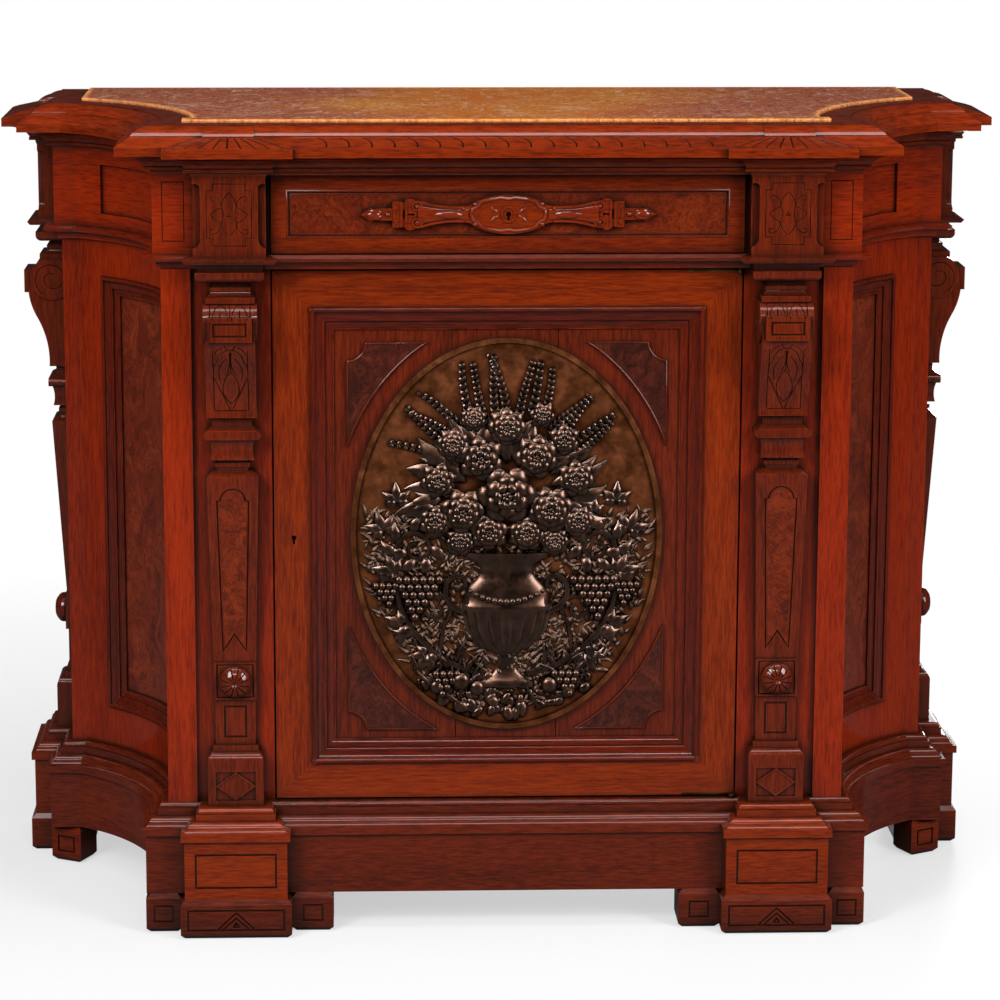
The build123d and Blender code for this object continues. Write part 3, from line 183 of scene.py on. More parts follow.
# %% The grain group
def grain_group():
    tree, given, left = group(
        "Straight grain",
        {
            "Vector": None,
            "Dark": colour(0.05, 0.008, 0.003),
            "Middle": colour(0.16, 0.02, 0.006),
            "Light": colour(0.28, 0.05, 0.012),
            "Figure": 0.5,
        },
        {"Colour": COLOUR, "Height": NUMBER, "Polish": NUMBER},
    )
    band = noise(tree, given["Vector"], 16.0, 5.0, 0.6, 0.7)
    fibre = noise(tree, given["Vector"], 360.0, 4.0, 0.7)
    pore = noise(tree, given["Vector"], 620.0, 2.0)
    dark_band = spread(tree, band, 0.16, 0.5)
    wood = blend_colours(tree, dark_band, given["Dark"], given["Middle"])
    lift = sum_up(tree, "MULTIPLY", spread(tree, band, 0.5, 0.75), given["Figure"])
    wood = blend_colours(tree, lift, wood, given["Light"])
    streak = sum_up(tree, "MULTIPLY", spread(tree, fibre, 0.44, 0.64), given["Figure"])
    wood = blend_colours(tree, streak, wood, given["Light"])
    wood = blend_colours(tree, spread(tree, fibre, 0.48, 0.34, 0.0, 0.42), wood, given["Dark"])
    pores = spread(tree, pore, 0.34, 0.48)
    shade = spread(tree, pores, 0.0, 1.0, 0.72, 1.0)
    wood = blend_colours(tree, 1.0, wood, put(tree, "ShaderNodeCombineColor", {
        0: shade, 1: shade, 2: shade,
    }).outputs[0], "MULTIPLY")
    return give_out(tree, left, {"Colour": wood, "Height": pores, "Polish": band})


GRAIN = grain_group()

# %% [markdown]
# ## Burl
# The burl veneer of the drawer, the shafts, the spandrels and the corner panels has
# no grain direction: it curls round small knots. A Wave or Voronoi texture alone looks
# drawn. Noise whose coordinates are pushed about by a second noise curls as burl does.

# %% The burl group
def burl_group():
    tree, given, left = group(
        "Burl figure",
        {
            "Vector": None,
            "Dark": colour(0.03, 0.006, 0.003),
            "Middle": colour(0.12, 0.018, 0.006),
            "Light": colour(0.3, 0.06, 0.015),
            "Scale": 22.0,
        },
        {"Colour": COLOUR, "Height": NUMBER, "Polish": NUMBER},
    )
    push = put(tree, "ShaderNodeTexNoise", {"Vector": given["Vector"], "Scale": 14.0, "Detail": 4.0})
    centred = put(tree, "ShaderNodeVectorMath", {
        0: push.outputs["Color"], 1: (0.5, 0.5, 0.5),
    }, operation="SUBTRACT").outputs[0]
    pushed = put(tree, "ShaderNodeVectorMath", {0: centred, 3: 0.16}, operation="SCALE").outputs[0]
    where = put(tree, "ShaderNodeVectorMath", {
        0: given["Vector"], 1: pushed,
    }, operation="ADD").outputs[0]
    curl = noise(tree, where, given["Scale"], 8.0, 0.68, 1.6)
    fleck = noise(tree, where, 240.0, 3.0, 0.7)
    wood = blend_colours(tree, spread(tree, curl, 0.3, 0.5), given["Dark"], given["Middle"])
    wood = blend_colours(tree, spread(tree, curl, 0.5, 0.68), wood, given["Light"])
    wood = blend_colours(tree, spread(tree, fleck, 0.5, 0.66, 0.0, 0.8), wood, given["Dark"])
    return give_out(tree, left, {"Colour": wood, "Height": fleck, "Polish": curl})


BURL = burl_group()

# %% [markdown]
# ## Painted shade, highlights and age
# The corners, grooves and recesses are darkened as painted shade, with some of the wax
# and dust of a century. The edges are made pale, partly as hands and cloths rub them and
# partly as a painted highlight. The dark comes from two Ambient Occlusion nodes, which
# measure how enclosed a point is: a short one finds the crevices, and a long one lays a
# soft halo of painted shade round everything that stands out. The pale comes from the
# edge mask, and a noise breaks it up, because nobody rubs evenly.

# %% The group of painted shade, highlights and age
def shade_and_age_group():
    tree, given, left = group(
        "Painted shade, grime, worn edges and painted highlights",
        {
            "Colour": colour(0.2, 0.1, 0.05),
            "Shade and grime colour": colour(0.012, 0.004, 0.002),
            "Worn and highlit edge colour": colour(0.3, 0.055, 0.01),
            "Shade and grime": 0.8,
            "Edge wear and highlight": 0.5,
            "Reach": 0.012,
            "Halo": 0.07,
            "Edge": 0.0016,
            "Vector": None,
        },
        {"Colour": COLOUR, "Edge mask": NUMBER, "Open": NUMBER},
    )
    # Both Ambient Occlusion masks darken the colour as painted shade, in crevices and round raised parts,
    # with some grime.
    near = put(tree, "ShaderNodeAmbientOcclusion", {"Distance": given["Reach"]}, samples=6)
    far = put(tree, "ShaderNodeAmbientOcclusion", {"Distance": given["Halo"]}, samples=6)
    crevice = spread(tree, near.outputs["AO"], 0.5, 0.93, 1.0, 0.0)
    halo = spread(tree, far.outputs["AO"], 0.3, 0.9, 0.85, 0.0)
    hidden = sum_up(tree, "MAXIMUM", crevice, halo)
    open_share = sum_up(tree, "SUBTRACT", 1.0, hidden)
    shade_and_grime = sum_up(tree, "MULTIPLY", hidden, given["Shade and grime"])
    shaded_and_aged = blend_colours(tree, shade_and_grime, given["Colour"], given["Shade and grime colour"])
    # The pale edges are partly rubbed wear and partly a painted highlight.
    edge = edge_mask(tree, given["Edge"], 4, 0.995, 0.9)
    patch = noise(tree, given["Vector"], 34.0, 4.0, 0.7)
    broken = sum_up(tree, "MULTIPLY", edge, spread(tree, patch, 0.42, 0.62))
    outer = sum_up(tree, "MULTIPLY", broken, open_share)
    worn_and_lit_edge = sum_up(tree, "MULTIPLY", outer, given["Edge wear and highlight"])
    shaded_and_aged = blend_colours(tree, worn_and_lit_edge, shaded_and_aged, given["Worn and highlit edge colour"])
    return give_out(tree, left, {"Colour": shaded_and_aged, "Edge mask": worn_and_lit_edge, "Open": open_share})


SHADE_AND_AGE = shade_and_age_group()

# %% [markdown]
# ## The woods
# The case is one timber, but it never shows one colour: the stiles are redder, the
# door frame is more orange, and the mouldings and the shafts are darker, as each was
# cut from another board and has caught another share of sun and smoke. The stiles and
# posts are also brighter as painted glare. One row is a darker copy of the mahogany that
# paints shade on the sunk door boards, the plinth, the beads and the grooves. So each wood
# is a row of values for the grain group, and each burl a row for the burl group.

# %% The woods and their colours
WOODS = {
    "mahogany": {
        "Dark": colour(0.03, 0.003, 0.001),
        "Middle": colour(0.125, 0.0105, 0.0012),
        "Light": colour(0.25, 0.026, 0.001),
        "Figure": 0.42,
    },
    "red mahogany": {
        "Dark": colour(0.06, 0.004, 0.001),
        "Middle": colour(0.185, 0.0115, 0.001),
        "Light": colour(0.3, 0.026, 0.002),
        "Figure": 0.4,
    },
    # A darker copy of the mahogany: painted shade for the sunk boards, the plinth, the beads and the grooves.
    "dark mahogany": {
        "Dark": colour(0.024, 0.003, 0.001),
        "Middle": colour(0.082, 0.008, 0.002),
        "Light": colour(0.16, 0.019, 0.004),
        "Figure": 0.5,
    },
    "shaft mahogany": {
        "Dark": colour(0.024, 0.003, 0.001),
        "Middle": colour(0.09, 0.0085, 0.0018),
        "Light": colour(0.18, 0.02, 0.003),
        "Figure": 0.45,
    },
    "moulding mahogany": {
        "Dark": colour(0.02, 0.002, 0.001),
        "Middle": colour(0.074, 0.0055, 0.0012),
        "Light": colour(0.15, 0.013, 0.002),
        "Figure": 0.45,
    },
    "orange mahogany": {
        "Dark": colour(0.055, 0.005, 0.001),
        "Middle": colour(0.15, 0.0135, 0.001),
        "Light": colour(0.28, 0.033, 0.002),
        "Figure": 0.42,
    },
    "pine": {
        "Dark": colour(0.2, 0.1, 0.045),
        "Middle": colour(0.36, 0.2, 0.095),
        "Light": colour(0.5, 0.31, 0.16),
        "Figure": 0.5,
    },
}
BURLS = {
    "burl": {
        "Dark": colour(0.03, 0.004, 0.0015),
        "Middle": colour(0.12, 0.0125, 0.0025),
        "Light": colour(0.18, 0.024, 0.004),
        "Scale": 34.0,
    },
    "dark burl": {
        "Dark": colour(0.04, 0.006, 0.0025),
        "Middle": colour(0.125, 0.0155, 0.005),
        "Light": colour(0.21, 0.032, 0.009),
        "Scale": 16.0,
    },
    "smoked burl": {
        "Dark": colour(0.014, 0.003, 0.002),
        "Middle": colour(0.05, 0.009, 0.005),
        "Light": colour(0.105, 0.018, 0.008),
        "Scale": 22.0,
    },
}
print("woods:", len(WOODS), "burls:", len(BURLS))

# %% [markdown]
# ## The polish
# French polish is a thin, glossy coat over the wood, so each wood uses the Coat inputs
# of the Principled shader rather than a low roughness of its own. One function makes
# every wood: it stretches the Object coordinates along the grain, looks the colours
# up, and ages them, which paints shade into the hollows and highlights on the edges.

# %% Make a wood
UPRIGHT = (1.0, 1.0, 0.075)
ACROSS = (0.075, 1.0, 1.0)
ROUND_THE_CASE = (0.1, 0.1, 1.0)
UNSHIFTED = (0.0, 0.0, 0.0)
BUMP_STEP, BUMP_STRENGTH = 0.00006, 0.5
BARE_GLOSS = 0.05
POLISH_COAT, POLISH_ROUGHNESS, POLISH_IOR = 0.9, 0.11, 1.45


def start_material(name):
    made = bpy.data.materials.new(name)
    made.use_nodes = True
    tree = made.node_tree
    shader = tree.nodes["Principled BSDF"]
    where = put(tree, "ShaderNodeTexCoord").outputs["Object"]
    return made, tree, shader, where


def stretched(tree, where, scale, shift=UNSHIFTED):
    return put(tree, "ShaderNodeMapping", {
        "Vector": where, "Scale": scale, "Location": shift,
    }).outputs[0]


def polish(tree, shader, wood, where, shade_and_grime, wear_and_highlight, coat):
    # Painted shade in the hollows and a painted highlight on the worn edges.
    shaded_and_aged = use(tree, SHADE_AND_AGE, {
        "Colour": wood["Colour"], "Shade and grime": shade_and_grime, "Edge wear and highlight": wear_and_highlight, "Vector": where,
    })
    tree.links.new(shaded_and_aged["Colour"], shader.inputs["Base Color"])
    rough = spread(tree, wood["Polish"], 0.3, 0.7, 0.46, 0.36)
    tree.links.new(rough, shader.inputs["Roughness"])
    emboss(tree, shader, wood["Height"], BUMP_STRENGTH, BUMP_STEP)
    shader.inputs["Specular IOR Level"].default_value = BARE_GLOSS
    shader.inputs["Coat Weight"].default_value = coat
    shader.inputs["Coat Roughness"].default_value = POLISH_ROUGHNESS
    shader.inputs["Coat IOR"].default_value = POLISH_IOR


def wood_material(name, wood, grain, shade_and_grime=0.92, wear_and_highlight=0.35, coat=POLISH_COAT, shift=UNSHIFTED):
    made, tree, shader, where = start_material(name)
    along = stretched(tree, where, grain, shift)
    if wood in BURLS:
        look = use(tree, BURL, {"Vector": along, **BURLS[wood]})
    else:
        look = use(tree, GRAIN, {"Vector": along, **WOODS[wood]})
    polish(tree, shader, look, where, shade_and_grime, wear_and_highlight, coat)
    return made


# %% [markdown]
# ## Wood that turns at a mitre
# Frame-and-panel work has its grain turned at the corners. A frame could be split into
# four pieces, but its mouldings run on, so the material does it: it reads how far a
# point lies past the side and past the top, and shows the lying grain where the top
# wins. Both are equal along the mitre line.

# %% Make a mitred wood
SECOND_BOARD = (0.0, 0.3, 0.0)


def axes(tree, where):
    return put(tree, "ShaderNodeSeparateXYZ", {0: where}).outputs


def distance_from(tree, value, middle):
    return sum_up(tree, "ABSOLUTE", sum_up(tree, "SUBTRACT", value, middle))


def mix_looks(tree, share, first, second):
    mixed = {"Colour": blend_colours(tree, share, first["Colour"], second["Colour"])}
    for label in ("Height", "Polish"):
        made = put(tree, "ShaderNodeMix", {0: share, 2: first[label], 3: second[label]})
        mixed[label] = made.outputs[0]
    return mixed


def mitred_material(name, wood, centre, half, shade_and_grime=0.85, wear_and_highlight=0.35):
    made, tree, shader, where = start_material(name)
    split = axes(tree, where)
    past_side = sum_up(tree, "SUBTRACT", distance_from(tree, split["X"], centre[0]), half[0])
    past_top = sum_up(tree, "SUBTRACT", distance_from(tree, split["Z"], centre[1]), half[1])
    rail = sum_up(tree, "GREATER_THAN", past_top, past_side)
    upright = use(tree, GRAIN, {"Vector": stretched(tree, where, UPRIGHT), **WOODS[wood]})
    lying = use(tree, GRAIN, {"Vector": stretched(tree, where, ACROSS, SECOND_BOARD), **WOODS[wood]})
    polish(tree, shader, mix_looks(tree, rail, upright, lying), where, shade_and_grime, wear_and_highlight, POLISH_COAT)
    return made


# %% [markdown]
# ## Which wood goes where
# The stiles, posts, shafts and brackets are cut with the grain upright. The plinth,
# the frieze and the cornice run round the case, with the grain lying. The door frame
# changes direction at its mitres. The inside, the back and the drawer box are plain
# softwood, which nobody polished.

# %% Wood on the CAD nodes
def dress(material, slot, *names):
    for name in names:
        piece = NODES[name]
        piece.data.materials.clear()
        piece.data.materials.append(material)
        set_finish(piece, slot)


def both(*names):
    return [side + name for side in ("left_", "right_") for name in names]


door_low, door_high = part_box("door_frame")
DOOR_CENTRE = ((door_low.x + door_high.x) / 2, (door_low.z + door_high.z) / 2)
DOOR_HALF = ((door_high.x - door_low.x) / 2, (door_high.z - door_low.z) / 2)

upright_wood = wood_material("Mahogany, grain upright", "shaft mahogany", UPRIGHT, 0.92, 0.5)
# The uprights are redder in their own colour and brighter as painted glare.
strip_wood = wood_material("Mahogany uprights, brightened as painted glare", "red mahogany", UPRIGHT)
lying_wood = wood_material("Mahogany, grain lying", "mahogany", ROUND_THE_CASE)
cornice_wood = wood_material("Mahogany of the cornice", "mahogany", ROUND_THE_CASE, 0.92, 0.45, 1.0)
# The sunk door boards are darkened, partly as their own tone and partly as painted shade.
panel_wood = wood_material("Mahogany door boards, partly painted shade", "dark mahogany", UPRIGHT, 0.7)
door_wood = mitred_material("Mahogany, mitred", "orange mahogany", DOOR_CENTRE, DOOR_HALF)
moulding_wood = mitred_material(
    "Mahogany of the mouldings", "moulding mahogany", DOOR_CENTRE, DOOR_HALF, 0.95, 0.8,
)
red_lying = wood_material("Mahogany, red lying", "red mahogany", ROUND_THE_CASE)
# The plinth and the front feet are darkened as painted shade.
shaded_wood = wood_material("Mahogany, lying, in painted shade", "dark mahogany", ROUND_THE_CASE)
foot_wood = wood_material(
    "Mahogany, bright lying", "orange mahogany", ROUND_THE_CASE, shift=(0.0, 0.0, 0.2),
)
# The beads are darkened as painted shade.
bead_wood = wood_material("Mahogany beads in painted shade", "dark mahogany", UPRIGHT, coat=0.3)
burl_wood = wood_material("Burl veneer", "burl", (1.0, 1.0, 1.0))
dark_burl = wood_material("Burl veneer, shaded", "dark burl", (1.0, 1.0, 0.7))
smoked_burl = wood_material("Burl veneer, smoked", "smoked burl", (1.0, 1.0, 0.8))
pine_wood = wood_material("Softwood", "pine", UPRIGHT, 0.6, 0.1, 0.0)
pine_lying = wood_material("Softwood, lying", "pine", ACROSS, 0.6, 0.1, 0.0)

# Stiles, posts and corner frames carry the wood with painted glare.
dress(strip_wood, "mahogany", *both("front_stile", "rear_post", "corner_frame"))
dress(upright_wood, "mahogany", *both(
    "front_shaft", "side_shaft", "front_bracket",
    "side_bracket", "front_frieze_block", "side_frieze_block"), "rosettes")
dress(red_lying, "mahogany", *both("frieze"))
dress(lying_wood, "mahogany", *both("side_pedestal", "side_foot"),
      "canted_feet", "drawer_rails", "drawer_front", "drawer_escutcheon")
dress(shaded_wood, "mahogany", "plinth_front", *both("plinth", "front_feet"))
dress(foot_wood, "mahogany", *both("front_pedestal"))
dress(cornice_wood, "mahogany", "cornice_front", *both("cornice"))
dress(door_wood, "mahogany", "door_frame")
dress(moulding_wood, "mahogany", "door_moulding", "corner_mouldings")
dress(panel_wood, "mahogany", "door_panel")
dress(dark_burl, "burl", "corner_panels")
dress(smoked_burl, "burl", "door_spandrels")
dress(pine_wood, "pine", "back_panel", "shelf_supports")
dress(pine_lying, "pine", "bottom_board", "top_board", "shelf", "drawer_runners", "drawer_box")
print("door centre and half:", [round(v, 3) for v in DOOR_CENTRE + DOOR_HALF])

# %% [markdown]
# ## Marble
# The top is a breccia: golden in the middle, red-brown and mottled towards the ends,
# with a pale line painted along its edge as a highlight, broken up like chips. Cells of a
# Voronoi texture, pushed about by noise, give the broken pieces. A slow ramp along X turns
# the colour from red to gold. The painted highlight of the edge is found with the edge
# mask, as the worn and highlit edges of the wood are.

# %% The marble
GOLD_MIDDLE = 0.03
NOSING = 0.015


def marble_material():
    made, tree, shader, where = start_material("Breccia marble")
    push = put(tree, "ShaderNodeTexNoise", {"Vector": where, "Scale": 30.0, "Detail": 5.0}).outputs["Color"]
    pushed = put(tree, "ShaderNodeVectorMath", {0: push, 3: 0.03}, operation="SCALE").outputs[0]
    place = put(tree, "ShaderNodeVectorMath", {0: where, 1: pushed}, operation="ADD").outputs[0]
    cells = put(tree, "ShaderNodeTexVoronoi", {"Vector": place, "Scale": 85.0, "Randomness": 1.0})
    tone = put(tree, "ShaderNodeSeparateColor", {0: cells.outputs["Color"]}).outputs[0]
    fine = noise(tree, place, 130.0, 6.0, 0.7)
    cloud = noise(tree, where, 5.0, 5.0)
    vein = noise(tree, place, 11.0, 7.0, 0.5, 2.2)

    side = distance_from(tree, axes(tree, where)["X"], GOLD_MIDDLE)
    side = sum_up(tree, "ADD", side, spread(tree, cloud, 0.3, 0.7, -0.12, 0.12))
    ends = spread(tree, side, 0.16, 0.34)
    grains = spread(tree, fine, 0.35, 0.65)
    red = blend_colours(tree, grains, colour(0.08, 0.012, 0.007), colour(0.34, 0.115, 0.062))
    red = blend_colours(tree, spread(tree, tone, 0.2, 0.9, 0.0, 0.6), red, colour(0.24, 0.063, 0.033))
    grains = spread(tree, fine, 0.3, 0.7)
    gold = blend_colours(tree, grains, colour(0.17, 0.038, 0.006), colour(0.48, 0.21, 0.048))
    gold = blend_colours(tree, spread(tree, cloud, 0.4, 0.65, 0.0, 0.8), gold, colour(0.32, 0.076, 0.014))
    stone = blend_colours(tree, ends, gold, red)
    line = spread(tree, distance_from(tree, vein, 0.5), 0.0, 0.018, 0.55, 0.0)
    stone = blend_colours(tree, line, stone, colour(0.48, 0.33, 0.24))

    # The age group paints a little shade into the marble's corners.
    shaded_and_aged = use(tree, SHADE_AND_AGE, {
        "Colour": stone, "Shade and grime": 0.2, "Edge wear and highlight": 0.0, "Vector": place,
        "Shade and grime colour": colour(0.05, 0.02, 0.01),
    })
    # A pale line painted along the edge as a highlight, broken up like chips.
    highlight_breaks = spread(tree, fine, 0.36, 0.6, 0.25, 1.0)
    nosing = sum_up(tree, "MULTIPLY", edge_mask(tree, NOSING, 6, 0.998, 0.97), highlight_breaks)
    edged = blend_colours(tree, nosing, shaded_and_aged["Colour"], colour(0.8, 0.33, 0.1))
    tree.links.new(edged, shader.inputs["Base Color"])
    shader.inputs["Roughness"].default_value = 0.3
    shader.inputs["Specular IOR Level"].default_value = 0.05
    emboss(tree, shader, fine, 0.2, 0.0001)
    print("marble:", len(tree.nodes), "nodes")
    return made


dress(marble_material(), "marble", "marble_top")

# %% [markdown]
# ## Metals
# The relief is a bronze with a dark brown patina that is rubbed bright on what stands
# out, which is partly wear and partly a painted highlight; its hollows are darkened as
# patina and painted shade. Its field is browner and its low parts duller, as hands never
# reach them. The hinges are brass, and the locks are steel, and these get painted shade
# in their corners too. Each is metallic, with a noise in its roughness, because an even
# gloss looks like plastic.

# %% Metal finishes
# How strongly the cast bronze is darkened in its hollows as patina and painted shade, and how far that halo
# reaches.
CAST_SHADE_AND_GRIME, CAST_HALO = 0.95, 0.02


def metal_material(name, dark, light, rough, worn_and_lit_edge, wear_and_highlight, shade_and_grime=0.9, halo=0.05):
    made, tree, shader, where = start_material(name)
    cloud = noise(tree, where, 45.0, 6.0, 0.65)
    base = blend_colours(tree, spread(tree, cloud, 0.35, 0.65), dark, light)
    # Painted shade in the corners and a painted highlight on the worn edges.
    shaded_and_aged = use(tree, SHADE_AND_AGE, {
        "Colour": base, "Shade and grime": shade_and_grime, "Edge wear and highlight": wear_and_highlight, "Vector": where, "Reach": 0.006,
        "Halo": halo, "Worn and highlit edge colour": worn_and_lit_edge, "Edge": 0.0012,
        "Shade and grime colour": colour(0.01, 0.006, 0.004),
    })
    tree.links.new(shaded_and_aged["Colour"], shader.inputs["Base Color"])
    shader.inputs["Metallic"].default_value = 1.0
    uneven = spread(tree, cloud, 0.3, 0.7, rough - 0.07, rough + 0.09)
    tree.links.new(uneven, shader.inputs["Roughness"])
    emboss(tree, shader, cloud, 0.3, 0.0004)
    return made


bronze = metal_material(
    "Bronze, brown patina", colour(0.06, 0.029, 0.018), colour(0.135, 0.063, 0.039),
    0.3, colour(0.5, 0.43, 0.38), 0.55, CAST_SHADE_AND_GRIME, CAST_HALO,
)
field_bronze = metal_material(
    "Bronze, field", colour(0.2, 0.06, 0.02), colour(0.4, 0.125, 0.047),
    0.38, colour(0.4, 0.25, 0.17), 0.3, CAST_SHADE_AND_GRIME, CAST_HALO,
)
low_bronze = metal_material(
    "Bronze, low relief", colour(0.05, 0.027, 0.018), colour(0.11, 0.058, 0.038),
    0.42, colour(0.32, 0.26, 0.22), 0.35, CAST_SHADE_AND_GRIME, CAST_HALO,
)
lacquer = bronze.node_tree.nodes["Principled BSDF"].inputs
lacquer["Coat Weight"].default_value = 0.5
lacquer["Coat Roughness"].default_value = 0.2
brass = metal_material(
    "Brass, dull with age", colour(0.11, 0.05, 0.016), colour(0.2, 0.1, 0.03),
    0.4, colour(0.5, 0.32, 0.12), 0.4, shade_and_grime=0.8,
)
steel = metal_material(
    "Steel", colour(0.25, 0.24, 0.23), colour(0.42, 0.41, 0.4),
    0.4, colour(0.6, 0.6, 0.6), 0.5, shade_and_grime=0.5,
)
dress(field_bronze, "bronze", "medallion")
dress(brass, "brass", "hinge_frame_leaves", "hinge_door_leaves", "door_bolt", "drawer_bolt")
dress(steel, "steel", "door_lock", "drawer_lock")
print("finishes:", len(bpy.data.materials))

# %% [markdown]
# ## Shaping helpers
# Carving is mostly one thing: a rounded or V-shaped section that follows a line. A
# curve with a bevel could do it, but `sweep` builds it with bmesh operators, so that
# its section can swell and flatten along the way: a ring is made at the start,
# extruded once for each point, and moved to its place by a matrix. The same function
# makes leaves, stalks, scrolls and the cutters that incise lines. Operators slow down
# with the size of the mesh that they work in, so each sweep is made in a small mesh of
# its own, and only then joined to the whole.

# %% Sweep and finish
FRONT = Vector((0.0, -1.0, 0.0))
SHARP_ANGLE = math.radians(38)
MERGE = 1e-6


def ring_places(path, radii, closed, out, flat):
    places = []
    count = len(path)
    for i, point in enumerate(path):
        into = point - path[i - 1] if i or closed else path[1] - point
        away = path[(i + 1) % count] - point if i < count - 1 or closed else into
        tangent = (into.normalized() + away.normalized()).normalized()
        mitre = 1 / max(0.5, tangent.dot(away.normalized()))
        side = tangent.cross(out).normalized()
        lift = side.cross(tangent)
        radius = radii[i] if isinstance(radii, (list, tuple)) else radii
        place = Matrix((side * radius * mitre, lift * radius * flat, tangent * radius))
        place = place.transposed().to_4x4()
        place.translation = point
        places.append(place)
    return places


def join_to(whole, part):
    """Add a part to a larger shape, and free the part."""
    mesh = bpy.data.meshes.new("part")
    part.to_mesh(mesh)
    part.free()
    whole.from_mesh(mesh)
    bpy.data.meshes.remove(mesh)


def sweep(whole, path, radii, sides=4, closed=False, out=FRONT, flat=1.0):
    shape = bmesh.new()
    places = ring_places(path, radii, closed, out, flat)
    quarter = Matrix.Rotation(math.pi / 2, 4, "Z")
    ring = bmesh.ops.create_circle(shape, segments=sides, radius=1.0, matrix=places[0] @ quarter)
    first = list({edge for vert in ring["verts"] for edge in vert.link_edges})
    edge_ring = first
    for here, there in zip(places, places[1:]):
        grown = bmesh.ops.extrude_edge_only(shape, edges=edge_ring)["geom"]
        verts = {item for item in grown if isinstance(item, bmesh.types.BMVert)}
        edge_ring = [item for item in grown if isinstance(item, bmesh.types.BMEdge)
                     and verts.issuperset(item.verts)]
        bmesh.ops.transform(shape, matrix=there @ here.inverted(), verts=list(verts))
    if closed:
        bmesh.ops.bridge_loops(shape, edges=first + edge_ring)
    else:
        bmesh.ops.holes_fill(shape, edges=first + edge_ring, sides=0)
    join_to(whole, shape)


def finish_piece(shape, name, material, body, slot):
    bmesh.ops.recalc_face_normals(shape, faces=shape.faces)
    mesh = bpy.data.meshes.new(name)
    shape.to_mesh(mesh)
    shape.free()
    mesh.materials.append(material)
    mesh.polygons.foreach_set("use_smooth", [True] * len(mesh.polygons))
    mesh.set_sharp_from_angle(angle=SHARP_ANGLE)
    made = bpy.data.objects.new(name, mesh)
    bpy.context.scene.collection.objects.link(made)
    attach(made, body)
    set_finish(made, slot)
    print("made", name, "with", len(mesh.polygons), "faces")
    return made


# %% [markdown]
# Ornament is drawn as lines in a flat plane before it becomes a shape. Arcs, bowed
# lines, rectangles and ovals are the alphabet, and each is a row of points.

# %% Lines to draw with
def dense(points, closed, step):
    """Points no further apart than step, along straight stretches."""
    stops = list(points) + ([points[0]] if closed else [])
    found = []
    for start, end in zip(stops, stops[1:]):
        count = max(1, math.ceil(math.dist(start, end) / step))
        found += [tuple(a + (b - a) * i / count for a, b in zip(start, end)) for i in range(count)]
    return found if closed else found + [stops[-1]]


def arc(centre, radius, start, end, count=10):
    found = []
    for i in range(count + 1):
        angle = math.radians(start + (end - start) * i / count)
        found.append((centre[0] + radius * math.cos(angle), centre[1] + radius * math.sin(angle)))
    return found


def bowed(start, end, bow, count=8):
    """A bowed line; bow is the rise as a share of the length, to the left of the way."""
    found = []
    across = (start[1] - end[1], end[0] - start[0])
    for i in range(count + 1):
        t = i / count
        rise = bow * 4 * t * (1 - t)
        found.append(tuple(a + (b - a) * t + c * rise for a, b, c in zip(start, end, across)))
    return found


def rectangle(half, low, high, centre=0.0):
    return [(centre - half, low), (centre + half, low), (centre + half, high), (centre - half, high)]


# %% [markdown]
# ## Incised lines
# The pilasters, brackets and feet are drawn on with a V-shaped gouge. Bump could fake
# a groove, but from the side it is flat, so the lines are cut for real: each stroke
# is laid on the CAD surface by casting a ray at it, swept with a small section, and
# taken out of a welded copy of the node with a Boolean. The copy then stands for the
# node. The groove's own faces get a finish of dark wax that also paints shade into the
# groove, which the Boolean carries over from the cutter. Each gouge is a row of its width,
# its depth and the spacing of the rays, in millimetres.

# %% The gouge
REACH = 0.3
FINE_GOUGE, BLOCK_GOUGE, BRACKET_GOUGE = (1.4, 1.1, 30.0), (1.3, 1.1), (1.5, 1.4, 4.0)
SHAFT_GOUGE, FOOT_GOUGE = (2.4, 1.6, 20.0), (3.0, 2.2, 20.0)
JOINT_GOUGE, RAY_GOUGE, FLUTE_GOUGE = (2.2, 1.4, 400.0), (2.0, 1.5, 9.0), (3.0, 1.8, 40.0)
# The groove faces are dark as wax and as painted shade.
groove_wax_and_shade = wood_material("Dark wax and painted shade in the grooves", "dark mahogany", UPRIGHT, 1.0, 0.0, 0.2)
groove_wax_and_shade.node_tree.nodes["Principled BSDF"].inputs["Specular IOR Level"].default_value = 0.15


class Face:
    """A face of the cabinet: where its own two axes lie, and which way is out."""

    def __init__(self, origin, across, out, up=(0.0, 0.0, 1.0)):
        self.origin, self.across = Vector(origin), Vector(across)
        self.out, self.up = Vector(out), Vector(up)

    def far(self, point):
        s, t = point
        return self.origin + self.across * s * MM + self.up * t * MM + self.out * REACH


def welded(node):
    """A copy of the node in one skin, without the normals that came with it."""
    copy = NODES[node].data.copy()
    for name in ("custom_normal", "sharp_face", "sharp_edge"):
        if name in copy.attributes:
            copy.attributes.remove(copy.attributes[name])
    shape = bmesh.new()
    shape.from_mesh(copy)
    bpy.data.meshes.remove(copy)
    bmesh.ops.remove_doubles(shape, verts=shape.verts, dist=MERGE)
    return shape


def laid_on(surface, face, stroke, closed, step):
    found = []
    for point in dense(stroke, closed, step):
        hit = surface.ray_cast(face.far(point), -face.out)[0]
        if hit is not None:
            found.append(hit)
    return found


